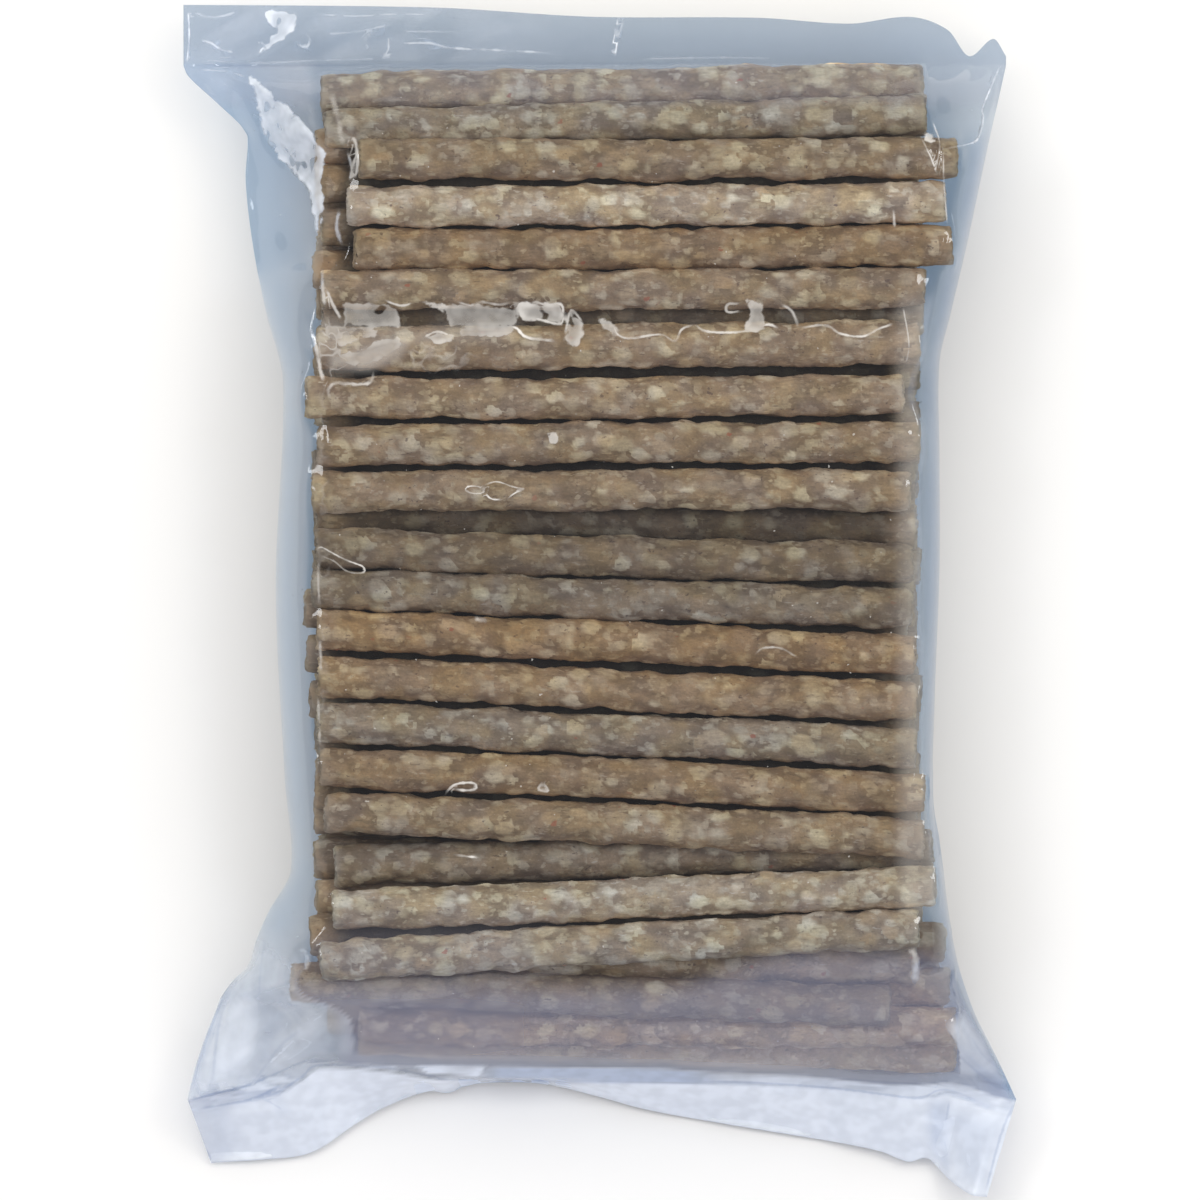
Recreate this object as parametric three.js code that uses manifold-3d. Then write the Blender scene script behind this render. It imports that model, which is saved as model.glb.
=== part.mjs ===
// A clear sealed bag of pressed chew sticks, lying on its back, as one solid out to the film.
// Millimetres, +Z up. The bag lies in the XY plane, its sticks run along X, and its seals are at the two ends
// in Y. The origin is on the surface it lies on, under the middle of the bag.
import * as THREE from "three";
import { mergeVertices } from "three/addons/utils/BufferGeometryUtils.js";
import Module from "manifold-3d";

// ---- Driving dimensions ----
const STICK_LENGTH = 124.5;
const STICK_RADIUS = 4.6;
const BAG_HEIGHT = 42; // five layers of nested sticks and the film round them
const STICK_BOW = 0.4; // the most that a stick bends sideways
const STICK_WAVE = 0.2; // how far its radius grows and shrinks along it
const STICK_OVAL = 0.15; // and round it
const STICK_PROUD = 1.1; // how far a stick's crest stands out of the film that bridges its neighbours
const END_SLACK = 0.8; // how far beyond the ends of the sticks the film starts down to its edge
const END_REACH = 5; // how far along the bag one stick's end holds the film out
const TOP_SEAL_Y = 112;
const BOTTOM_SEAL_Y = -99.5;
const EAR_SAG = 4.5; // how much further out the bottom seal lies at its two ears
const EDGE_HEIGHT = 19; // of the bag's side edges above the surface it lies on
const TOP_SEAL_HEIGHT = 17;
const BOTTOM_SEAL_HEIGHT = 14;
const FLAP_LENGTH = 21; // of the film beyond the bottom seal, which hangs where it doesn't reach out
const FLOOR_GAP = 0.6; // the hanging film stops this far above the surface
const FILM_HALF = 0.5; // half the thickness of the two films where they lie together

// Each stick of the top layer: the X and Y of its middle, how much further up the bag its right end lies than
// its left, and how far its crest is below the top of the bag.
const TOP_STICKS = [
  [4.5, 107.7, 2.0, 10.0],
  [5.4, 99.8, 2.9, 4.6],
  [12.0, 92.3, 0.4, 0.0],
  [9.6, 82.9, 0.8, 0.2],
  [11.0, 73.8, 0.9, 0.6],
  [4.9, 65.2, 0.4, 0.1],
  [3.8, 53.4, 1.7, 0.3],
  [1.0, 42.3, 0.8, 0.5],
  [3.8, 32.9, 0.8, 0.0],
  [2.4, 23.0, 0.6, 0.2],
  [2.9, 9.7, -3.1, 0.8],
  [2.5, 0.8, -4.1, 0.5],
  [3.5, -8.5, -5.4, 0.0],
  [3.6, -18.0, -5.6, 0.3],
  [3.5, -27.7, -5.4, 0.5],
  [4.7, -37.2, -5.6, 0.1],
  [5.0, -46.5, -5.5, 0.2],
  [7.1, -61.6, 5.2, 0.2],
  [4.2, -71.4, 6.9, 0.0],
  [-1.9, -81.6, -5.2, 7.4],
  [11.9, -87.6, -0.2, 13.2],
  [10.8, -93.2, -1.3, 19.2],
];

// Heights of the two films over the middle of the bag, from the bottom seal to the top seal: [y, z].
const FILM_TOP = BAG_HEIGHT - STICK_PROUD;
const UPPER_FILM = [
  [BOTTOM_SEAL_Y, BOTTOM_SEAL_HEIGHT],
  [-94.4, 22.4],
  [-87.6, 28.6],
  [-81.6, 34.8],
  [-74, FILM_TOP - 0.4],
  [-64, FILM_TOP],
  [86, FILM_TOP],
  [94, FILM_TOP - 0.6],
  [99.8, 36.8],
  [107.7, 31.4],
  [TOP_SEAL_Y, TOP_SEAL_HEIGHT],
];
const LOWER_FILM = [
  [BOTTOM_SEAL_Y, BOTTOM_SEAL_HEIGHT],
  [-97, 5],
  [-91, 0],
  [103, 0],
  [109.5, 6],
  [TOP_SEAL_Y, TOP_SEAL_HEIGHT],
];

// The bag's two side edges, from the bottom ears to the top ears: [y, x].
const LEFT_EDGE = [
  [-104, -86],
  [-94, -83.3],
  [-79, -77],
  [-65, -69.2],
  [-56, -64.6],
  [-37, -65.8],
  [3, -67.7],
  [46, -65.8],
  [71, -70.8],
  [98, -74],
  [108, -84],
  [TOP_SEAL_Y, -87],
];
const RIGHT_EDGE = [
  [-104, 87],
  [-95, 83.5],
  [-73, 74.4],
  [-50, 71],
  [-41, 69],
  [7, 70.8],
  [49, 70.4],
  [74, 76.4],
  [95, 81],
  [TOP_SEAL_Y, 84.8],
];

// How far the film reaches out beyond each seal, from -1 at the left of the bag to 1 at its right: [u, mm].
const TOP_HEM = [
  [-1, 12.7],
  [-0.4, 12.2],
  [0, 10.2],
  [0.4, 10],
  [0.62, 8.8],
  [0.77, 10.2],
  [0.86, 7.4],
  [0.91, 2],
  [0.97, 5.6],
  [1, 2],
];
const BOTTOM_FLAP = [
  [-1, 13],
  [-0.75, 16.2],
  [-0.56, 8],
  [-0.4, 3],
  [-0.15, 1.2],
  [0.1, 4.5],
  [0.45, 11],
  [0.75, 16],
  [1, 20.5],
];
const FLAP_TAPER = 0.93; // the share of the seal's width that the flap keeps at its free edge

// The waves that run across the free film: [height, how fast it turns across the bag, phase].
const HEM_RIPPLE = [
  [0.9, 5.2, 0.6],
  [0.5, 13, 0],
];
const FLAP_RIPPLE = [[0.8, 9, 1]];

// The slope from the sticks' ends to the bag's edge: round where it is narrow, straighter at a wide ear.
const NARROW = { margin: 8, inner: 2.2, outer: 0.5 };
const WIDE = { margin: 22, inner: 1.2, outer: 1.3 };

const HEM_ROWS = 4;
const FLAP_ROWS = 7;
const BODY_ROWS = 44;
const ROW_CROWDING = 0.75; // how much closer together the body's rows are at its two ends
const FLANK_COLUMNS = 6; // in each of the two slopes beside the sticks
const FLANK_START = 0.8; // where those columns start, on the way from the middle to the edge
const COLUMN_CROWDING = 1.5;
const MIDDLE_COLUMNS = 12;
const STICK_SIDES = 12;
const STICK_RINGS = 6;

// ---- Helpers ----
// A smooth curve through [at, value] stations in rising order, held level beyond its ends.
function through(stations, at) {
  const last = stations.length - 1;
  if (at <= stations[0][0]) return stations[0][1];
  if (at >= stations[last][0]) return stations[last][1];
  const slope = (i) => {
    const [a, b] = [Math.max(i - 1, 0), Math.min(i + 1, last)];
    return (stations[b][1] - stations[a][1]) / (stations[b][0] - stations[a][0]);
  };
  const i = stations.findIndex((s) => s[0] > at) - 1;
  const span = stations[i + 1][0] - stations[i][0];
  const t = (at - stations[i][0]) / span;
  const [h, g] = [t * t * (3 - 2 * t), t * (1 - t)];
  const bend = g * ((1 - t) * slope(i) - t * slope(i + 1)) * span;
  return stations[i][1] * (1 - h) + stations[i + 1][1] * h + bend;
}

const lerp = THREE.MathUtils.lerp;
const clamp = THREE.MathUtils.clamp;
const wave = ([height, turn, phase], u) => height * Math.sin(turn * u + phase);
const ripple = (waves, u) => waves.reduce((sum, each) => sum + wave(each, u), 0);

// ---- The bag's form ----
const sealY = (u) => BOTTOM_SEAL_Y - EAR_SAG * Math.abs(u) ** 5;

// Where the film starts down at the left (side -1) or right (side 1) ends of the sticks that lie about y.
function shoulderAt(side, y) {
  let [sum, weights] = [0, 0];
  for (const [x, middle, rise] of TOP_STICKS) {
    const away = (y - middle - (side * rise) / 2) / END_REACH;
    const weight = Math.exp(-away * away);
    sum += weight * (x + (side * STICK_LENGTH) / 2);
    weights += weight;
  }
  return sum / weights + side * END_SLACK;
}

// The share of the film's rise that is left, from 1 over the sticks to 0 at the bag's edge.
function flank(x, y) {
  const [side, outline] = x < 0 ? [-1, LEFT_EDGE] : [1, RIGHT_EDGE];
  const [shoulder, edge] = [shoulderAt(side, y), through(outline, y)];
  const margin = Math.abs(edge - shoulder);
  const t = clamp((x - shoulder) / (edge - shoulder), 0, 1);
  const wide = THREE.MathUtils.smoothstep(margin, NARROW.margin, WIDE.margin);
  return (1 - t ** lerp(NARROW.inner, WIDE.inner, wide)) ** lerp(NARROW.outer, WIDE.outer, wide);
}

function edgeHeight(y) {
  const towardTop = clamp((y - BOTTOM_SEAL_Y) / (TOP_SEAL_Y - BOTTOM_SEAL_Y), 0, 1);
  const sealHeight = lerp(BOTTOM_SEAL_HEIGHT, TOP_SEAL_HEIGHT, towardTop);
  return sealHeight + (EDGE_HEIGHT - sealHeight) * Math.sin(Math.PI * towardTop);
}

// Height of the upper (side 1) or lower (side -1) film over a point of the bag's body.
function filmHeight(x, y, side) {
  const middle = edgeHeight(y);
  const profile = Math.max(through(side > 0 ? UPPER_FILM : LOWER_FILM, y), 0);
  const height = middle + (profile - middle) * flank(x, y);
  return side > 0 ? Math.max(height, middle + FILM_HALF) : Math.min(height, middle - FILM_HALF);
}

// A point of the body: u runs across it from -1 to 1, and v from the bottom seal to the top seal.
function bodyPoint(u, v, side) {
  const y = lerp(sealY(u), TOP_SEAL_Y, v);
  const [left, right] = [through(LEFT_EDGE, y), through(RIGHT_EDGE, y)];
  const x = lerp(left, right, (u + 1) / 2);
  return new THREE.Vector3(x, y, filmHeight(x, y, side));
}

// A point of the film beyond a seal: t runs from 0 at the seal to 1 at the free edge. The flap hangs where it
// doesn't reach out as far as it is long, and hem and flap ripple across the bag.
function hemPoint(u, t, side) {
  const seal = bodyPoint(u, 1, side);
  seal.y += t * through(TOP_HEM, u);
  seal.z = TOP_SEAL_HEIGHT + t * ripple(HEM_RIPPLE, u) + side * FILM_HALF;
  return seal;
}

function flapPoint(u, t, side) {
  const seal = bodyPoint(u, 0, side);
  const reach = through(BOTTOM_FLAP, u);
  const fall = Math.sqrt(Math.max(FLAP_LENGTH ** 2 - reach ** 2, 0));
  const lowest = FLOOR_GAP + FILM_HALF;
  const hang = Math.min(fall, BOTTOM_SEAL_HEIGHT - lowest);
  seal.x *= lerp(1, FLAP_TAPER, t);
  seal.y -= t * reach;
  seal.z = Math.max(BOTTOM_SEAL_HEIGHT + t * (ripple(FLAP_RIPPLE, u) - hang), lowest) + side * FILM_HALF;
  return seal;
}

// Rows of the bag from the flap's free edge to the hem's, each a function of u and side. They are closer
// together where the film turns over the ends of the heap.
function bagRows() {
  const rows = [];
  for (let i = FLAP_ROWS; i > 0; i--) rows.push((u, side) => flapPoint(u, i / FLAP_ROWS, side));
  for (let i = 0; i <= BODY_ROWS; i++) {
    const even = i / BODY_ROWS;
    const v = even - (ROW_CROWDING * Math.sin(2 * Math.PI * even)) / (2 * Math.PI);
    rows.push((u, side) => bodyPoint(u, v, side));
  }
  for (let i = 1; i <= HEM_ROWS; i++) rows.push((u, side) => hemPoint(u, i / HEM_ROWS, side));
  return rows;
}

// Columns across the bag: close together over each flank, wide over the sticks.
function bagColumns() {
  const inFlank = (i) => lerp(1, FLANK_START, (i / FLANK_COLUMNS) ** COLUMN_CROWDING);
  const columns = [];
  for (let i = 0; i < FLANK_COLUMNS; i++) columns.push(-inFlank(i));
  for (let i = 0; i <= MIDDLE_COLUMNS; i++) columns.push(lerp(-FLANK_START, FLANK_START, i / MIDDLE_COLUMNS));
  for (let i = FLANK_COLUMNS - 1; i >= 0; i--) columns.push(inFlank(i));
  return columns;
}

// The film's outer form: an upper and a lower sheet over the same rows and columns, joined round their rim.
function filmGeometry() {
  const [rows, columns] = [bagRows(), bagColumns()];
  const across = columns.length;
  const sheet = rows.length * across;
  const points = [1, -1].flatMap((side) => rows.flatMap((row) => columns.map((u) => row(u, side))));
  const index = [];
  const quad = (a, b, c, d) => index.push(a, b, c, a, c, d);
  for (let r = 0; r + 1 < rows.length; r++) {
    for (let c = 0; c + 1 < across; c++) {
      const a = r * across + c;
      quad(a, a + 1, a + across + 1, a + across);
      quad(a + sheet, a + sheet + across, a + sheet + across + 1, a + sheet + 1);
    }
  }
  const rim = [];
  for (let c = 0; c + 1 < across; c++) rim.push(c);
  for (let r = 0; r + 1 < rows.length; r++) rim.push(r * across + across - 1);
  for (let c = across - 1; c > 0; c--) rim.push((rows.length - 1) * across + c);
  for (let r = rows.length - 1; r > 0; r--) rim.push(r * across);
  rim.forEach((a, i) => {
    const b = rim[(i + 1) % rim.length];
    quad(a, a + sheet, b + sheet, b);
  });
  return new THREE.BufferGeometry().setFromPoints(points).setIndex(index);
}

// ---- One stick: an uneven round bar along X, closed at both ends ----
function stickGeometry([x, y, rise, drop], number) {
  const axis = new THREE.Vector3(STICK_LENGTH, rise, 0).normalize();
  const across = new THREE.Vector3(-axis.y, axis.x, 0);
  const up = new THREE.Vector3(0, 0, 1);
  const middle = new THREE.Vector3(x, y, BAG_HEIGHT - drop - STICK_RADIUS);
  const points = [];
  for (let ring = 0; ring < STICK_RINGS; ring++) {
    const along = ring / (STICK_RINGS - 1) - 0.5;
    const bow = STICK_BOW * Math.cos(Math.PI * along) * Math.sin(2.4 * number);
    const centre = middle.clone().addScaledVector(axis, along * STICK_LENGTH).addScaledVector(across, bow);
    for (let k = 0; k < STICK_SIDES; k++) {
      const angle = (2 * Math.PI * k) / STICK_SIDES;
      const swell = wave([STICK_WAVE, 7, 3 * number], along);
      const radius = STICK_RADIUS + swell + wave([STICK_OVAL, 2, 19 * along + number], angle);
      const outward = across.clone().multiplyScalar(Math.cos(angle)).addScaledVector(up, Math.sin(angle));
      points.push(centre.clone().addScaledVector(outward, radius));
    }
  }
  const index = [];
  for (let ring = 0; ring + 1 < STICK_RINGS; ring++) {
    for (let k = 0; k < STICK_SIDES; k++) {
      const [a, b] = [ring * STICK_SIDES + k, ring * STICK_SIDES + ((k + 1) % STICK_SIDES)];
      index.push(a, b, b + STICK_SIDES, a, b + STICK_SIDES, a + STICK_SIDES);
    }
  }
  const end = (STICK_RINGS - 1) * STICK_SIDES;
  for (let k = 1; k + 1 < STICK_SIDES; k++) {
    index.push(0, k + 1, k, end, end + k, end + k + 1);
  }
  return new THREE.BufferGeometry().setFromPoints(points).setIndex(index);
}

// ---- Joining ----
const wasm = await Module();
wasm.setup();

function solidOf(geometry) {
  const merged = mergeVertices(geometry, 1e-4);
  return new wasm.Manifold(
    new wasm.Mesh({
      numProp: 3,
      vertProperties: merged.attributes.position.array,
      triVerts: new Uint32Array(merged.index.array),
    }),
  );
}

function geometryOf(solid) {
  const mesh = solid.getMesh();
  return new THREE.BufferGeometry()
    .setAttribute("position", new THREE.BufferAttribute(new Float32Array(mesh.vertProperties), 3))
    .setIndex(new THREE.BufferAttribute(new Uint32Array(mesh.triVerts), 1))
    .toNonIndexed();
}

function bag() {
  let solid = solidOf(filmGeometry());
  TOP_STICKS.forEach((stick, number) => {
    solid = solid.add(solidOf(stickGeometry(stick, number)));
  });
  const geometry = geometryOf(solid);
  geometry.computeVertexNormals();
  const material = new THREE.MeshStandardMaterial({ color: 0xa5adb8, roughness: 0.25, metalness: 0 });
  const mesh = new THREE.Mesh(geometry, material);
  mesh.name = "bag";
  return mesh;
}

const model = new THREE.Group();
model.add(bag());
export default model;
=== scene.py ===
"""A clear sealed bag packed with pressed chew sticks, lying on a pale floor and seen from straight above.

The sticks are meshes of their own, stacked in five layers. The film is one mesh of the bag's outer form,
drawn down over them. Lengths are in millimetres until a mesh is made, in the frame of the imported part.
"""

import math

import bpy
import numpy as np
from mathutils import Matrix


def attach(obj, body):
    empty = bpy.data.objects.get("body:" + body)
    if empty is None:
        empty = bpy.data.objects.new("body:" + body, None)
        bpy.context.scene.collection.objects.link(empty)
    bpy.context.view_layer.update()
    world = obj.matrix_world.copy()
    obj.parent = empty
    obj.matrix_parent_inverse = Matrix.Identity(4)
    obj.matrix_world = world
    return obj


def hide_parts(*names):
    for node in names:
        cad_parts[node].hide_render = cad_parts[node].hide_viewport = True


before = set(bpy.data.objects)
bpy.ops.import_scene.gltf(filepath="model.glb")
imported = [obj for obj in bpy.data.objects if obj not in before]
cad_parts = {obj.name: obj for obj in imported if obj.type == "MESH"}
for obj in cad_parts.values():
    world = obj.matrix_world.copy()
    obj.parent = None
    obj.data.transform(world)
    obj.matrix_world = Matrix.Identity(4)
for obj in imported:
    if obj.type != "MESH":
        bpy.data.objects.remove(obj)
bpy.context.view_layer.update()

MM = 0.001
random = np.random.default_rng(11)

# ---- Sticks ----
STICK_LENGTH = 124.5
STICK_RADIUS = 4.6  # of the room a stick takes up in the stack
STICK_SLIM = 0.42  # how much less its own radius is
BAG_HEIGHT = 42
FILM_GAP = 0.2  # between a stick and the film that lies on it
LAYER_STEP = 8.1  # from one layer's middle to the next one's
LAYERS = 5

# The top layer: x and y of a stick's middle, how much further up its right end lies than its left, how far
# its crest is below the top of the bag, how much paler it is than others, and how warm its colour is.
TOP_STICKS = [
    [4.5, 107.1, 2.0, 10.0, 0.32, -0.6],
    [5.4, 99.8, 2.9, 4.6, 0.13, -0.6],
    [12.0, 92.3, 0.4, 0.0, -0.04, 0.15],
    [9.6, 82.9, 0.8, 0.2, 0.58, -0.35],
    [11.0, 73.8, 0.9, 0.6, -0.08, 0.6],
    [4.9, 65.2, 0.4, 0.1, 0.09, 0.1],
    [3.8, 53.2, 1.7, 0.7, 0.11, 0.2],
    [1.0, 42.9, 0.8, 0.5, 0.14, 0.17],
    [3.8, 32.9, 0.8, 0.0, 0.0, 0.16],
    [2.4, 23.0, 0.6, 0.2, 0.03, 0.2],
    [2.9, 9.7, -3.1, 0.8, -0.28, 0.0],
    [2.5, 0.8, -4.1, 0.5, -0.18, -0.23],
    [3.5, -8.5, -5.4, 0.0, -0.1, 1.1],
    [3.6, -18.0, -5.6, 0.3, -0.02, 0.6],
    [3.5, -27.7, -5.4, 0.5, 0.03, -0.4],
    [4.7, -37.2, -5.6, 0.1, -0.07, 0.55],
    [5.0, -46.5, -5.5, 0.2, 0.0, 0.1],
    [7.1, -61.6, 5.2, 0.2, 0.44, -0.6],
    [4.2, -71.4, 6.9, 0.0, 0.28, -0.6],
    [-1.9, -81.6, -5.2, 7.4, -0.1, -0.1],
    [12.0, -88.4, -0.3, 13.2, 0.6, 0.1],
    [12.0, -92.4, -3.5, 21.4, 0.48, 0.0],
]
# The second layer, which shows in the gaps and at the ends: x and y of the middle, rise, depth of the crest
# and paleness. Where it is below nothing, the paleness is painted shade that darkens these sticks in the
# gaps.
SECOND_STICKS = [
    [4.8, 103.2, 2.4, 14.5, -0.7],
    [3.4, 95.5, 1.6, 8.8, -0.8],
    [3.4, 87.4, 0.6, 8.2, -0.8],
    [4.0, 78.3, 0.8, 8.2, -0.8],
    [3.0, 69.3, 0.6, 8.3, -0.8],
    [4.6, 59.4, 1.0, 7.4, -0.4],
    [4.4, 47.8, 1.2, 8.2, -0.85],
    [4.4, 37.6, 0.8, 8.3, -0.85],
    [3.0, 28.0, 0.7, 8.2, -0.85],
    [3.2, 16.4, -2.6, 6.2, -0.62],
    [2.8, 5.2, -3.6, 8.4, -0.8],
    [1.2, -3.8, -4.8, 8.3, -0.85],
    [1.5, -13.2, -5.5, 8.1, -0.85],
    [2.2, -22.8, -5.5, 8.1, -0.85],
    [3.9, -32.4, -5.5, 8.1, -0.85],
    [3.4, -41.8, -5.5, 8.1, -0.85],
    [7.0, -53.1, 3.8, 6.2, -0.1],
    [2.4, -66.4, 6.0, 7.9, -0.75],
    [3.5, -74.6, -2.0, 10.4, 0.38],
    [10.4, -80.6, 0.6, 16.6, 0.25],
]
VISIBLE_SECOND = (5, 6, 9, 16, 18, 19)  # of those, the ones that show enough to be made fine
THICKER = {6: 0.4}  # how much more than the others' the radius of a stick of the top layer is
SECOND_WARMTH = (-0.4, 0.2)

# The layers below, which fill the bag.
FULL_ROW = 21  # sticks in a layer; every other one has one fewer, and starts further up
ROW_START = -87
ROW_SHIFT = 4.7
ROW_STEP = 9.35
LOW_X = (3.0, 4.6)
LOW_RISE = (-1.5, 1.5)
LOW_PALENESS = (-0.1, 0.1)
LOW_WARMTH = (-0.4, 0.2)
LOW_SHIFT = {2: 6.0, 3: 4.0, 4: 1.0}  # how far right a layer's sticks lie that are at the bottom of the bag
SHIFTED_BELOW = -76
UPPER_START = 92  # above this y the ends of the sticks on top hide those of the others
UPPER_X = (4.6, 5.4)
# How far down and up in the bag a stick of these layers may lie: the limit in y, the height below which it
# draws in, and by how much for each millimetre.
STACK_START = {"y": -92.5, "below": 14, "slope": 0.7}
STACK_END = {"y": 106.8, "below": 17, "slope": -0.6}
LOWEST_GAP = 0.4  # between the lowest sticks and the surface that the bag lies on
# Painted shade on a stick of the second layer lifts toward its ends, which lie out in the light.
END_SHADE_FADE = (54, 60)  # how far from its middle a stick of the second layer grows paler

# One stick: waves that are added up in its surface, how it bows, and how its cut ends are worn and crushed.
LENGTH_SPREAD = 0.8
WAVES = 7
WAVE_PITCH = (6, 34)
WAVE_HEIGHT = (0.03, 0.12)
BOW, SMALL_BOW, SMALL_BOW_PITCH = 0.5, 0.15, (45, 80)
WORN, WORN_REACH = 0.25, 0.7
CRUSHED = 0.4

FINE = {"rings": 210, "sides": 40}
COARSE = {"rings": 62, "sides": 18}
STICKS_A_PIECE = 9
CAP_RINGS = [0.12, 0.4, 0.66, 0.86, 0.96]  # the radii of an end's rings, as shares of the stick's

# ---- The bag's form, as in the part ----
STICK_PROUD = 1.1
END_SLACK = 0.8
END_REACH = 5
TOP_SEAL_Y = 112
BOTTOM_SEAL_Y = -99.5
EAR_SAG = 4.5
EDGE_HEIGHT = 19
TOP_SEAL_HEIGHT = 17
BOTTOM_SEAL_HEIGHT = 14
FLAP_LENGTH = 21
FLOOR_GAP = 0.6
FLAP_TAPER_LEFT, FLAP_TAPER_RIGHT = 0.945, 0.93
FILM_TOP = BAG_HEIGHT - STICK_PROUD
UPPER_FILM = [
    [BOTTOM_SEAL_Y, BOTTOM_SEAL_HEIGHT], [-94.4, 22.4], [-87.6, 28.6], [-81.6, 34.8], [-74, FILM_TOP - 0.4],
    [-64, FILM_TOP], [86, FILM_TOP], [94, FILM_TOP - 0.6], [99.8, 36.8], [107.7, 31.4],
    [TOP_SEAL_Y, TOP_SEAL_HEIGHT],
]
LOWER_FILM = [
    [BOTTOM_SEAL_Y, BOTTOM_SEAL_HEIGHT], [-97, 5], [-91, 0], [103, 0], [109.5, 6],
    [TOP_SEAL_Y, TOP_SEAL_HEIGHT],
]
LEFT_EDGE = [
    [-104, -86.2], [-97.4, -84.6], [-90.8, -82.4], [-85.5, -80.3], [-82.3, -79], [-78.6, -76.2],
    [-76.2, -73.6], [-70.4, -71.7], [-64.5, -69.1], [-56, -64.6], [-37, -65.8], [3, -67.7], [46, -66.2],
    [60, -69.6], [74, -72.4], [88, -74], [97.2, -73.6], [99.4, -74.9], [104.5, -80.3], [109.8, -86.0],
    [TOP_SEAL_Y, -87],
]
RIGHT_EDGE = [
    [-104, 87], [-95, 82.8], [-85, 77.9], [-73, 74.2], [-50, 70.8], [-41, 69.5], [-20, 69.9], [7, 70.9],
    [30, 70.9], [50, 70.9], [60, 73.2], [74, 76.5], [95, 81], [TOP_SEAL_Y, 84.8],
]
TOP_HEM = [
    [-1, 12.7], [-0.4, 12.2], [0, 10.2], [0.4, 10], [0.62, 8.8], [0.77, 10.2], [0.86, 7.4], [0.91, 2],
    [0.97, 5.6], [1, 2],
]
BOTTOM_FLAP = [
    [-1, 13.6], [-0.88, 15], [-0.75, 14.8], [-0.63, 9.2], [-0.57, 6.5], [-0.45, 3.0], [-0.39, 3.3],
    [-0.34, 1.6], [-0.16, 1.4], [0, 4.2], [0.11, 6.6], [0.24, 8.6], [0.49, 11.8], [0.74, 14.6],
    [0.81, 16.2], [0.86, 15.0], [0.91, 18.5], [0.96, 20.7], [1, 20.5],
]
HEM_RIPPLE = [[0.9, 5.2, 0.6], [0.5, 13, 0]]
FLAP_RIPPLE = [[0.8, 9, 1]]
NARROW = {"margin": 8, "inner": 2.2, "outer": 0.5}
WIDE = {"margin": 22, "inner": 1.2, "outer": 1.3}

# ---- The film's mesh ----
FILM_HALF = 0.12  # half the gap between the two films where they lie together
MARK_REACH = 2.0  # how far from a mark in the film its distance is still counted
HEM_ROWS = 18
FLAP_ROWS = 30
BODY_ROWS = 330
FLANK_COLUMNS = 46
MIDDLE_COLUMNS = 160
FLANK_START = 0.8
COLUMN_CROWDING = 1.5
UNDER_STEP = 6  # the lower film has one row and one column to this many of the upper one's
FIELD_STEP = 0.7  # of the grid that holds the sticks' heights
FIELD_HALF_X, FIELD_HALF_Y = 96, 132
SKIN_REACH = 3  # in steps of that grid, how far a high point carries the film
SKIN_BLUR = 2.6  # in the same steps, how much the film smooths what is under it
DRAPE_ROUNDS = 500
DRAPE_LOAD = 0.008  # how far a round draws the film down between what holds it up
DRAPE_REACH = 0.4  # how far out on a flank, as a share of its width, the film still follows the sticks

# Creases that stand up from the film: a bent line's points, the ridge's height and its half width.
FOLDS = [
    [[-75.4, 110.8], [-70.4, 95.2], [-61.5, 84.8], [-59.4, 77.5], 1.0, 2.4],
    [[83, 112], [82, 104], [78.5, 97.5], [74.8, 93.6], [71.6, 94.6], 1.0, 0.8],
    [[66.5, 106.5], [69.5, 97], [70.5, 91], [72, 84], 0.8, 0.7],
    [[72.5, 94], [71, 86], [72, 78], 0.7, 0.6],
    [[-79, -72], [-78, -85], [-82.5, -101], 1.3, 3.0],
    [[-73, -62], [-71.5, -76], [-75, -90], [-78, -99], 1.6, 3.4],
    [[-64, -72], [-67, -84], [-73, -93], [-79, -101], 1.6, 2.4],
    [[-57, -84], [-63, -90], [-71, -97], 1.2, 1.6],
    [[-60, -76], [-62, -80], [-58, -88], 0.6, 1.2],
    [[67, -82], [73, -90], [84, -101], 1.5, 2.4],
    [[72, -72], [77, -85], [85.5, -99], 1.1, 2.2],
    [[64, -93], [70, -97], [81, -101.5], 1.0, 1.4],
    [[70, -108.5], [69, -114], [72.5, -118.5], 1.6, 2.2],
]
# Painted highlights: spots where thin white loops are drawn as the glints of crinkled film. x, y, half
# length, half width and strength.
GLINT_LOOP_SPOTS = [
    [-55, 53, 4, 6, 0.4],
    [-34, 51, 8, 3, 0.14],
    [64.2, 33, 1.8, 30, 0.12],
    [64.4, -8, 1.8, 18, 0.12],
    [-57.6, 10, 1.4, 40, 0.08],
]
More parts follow.
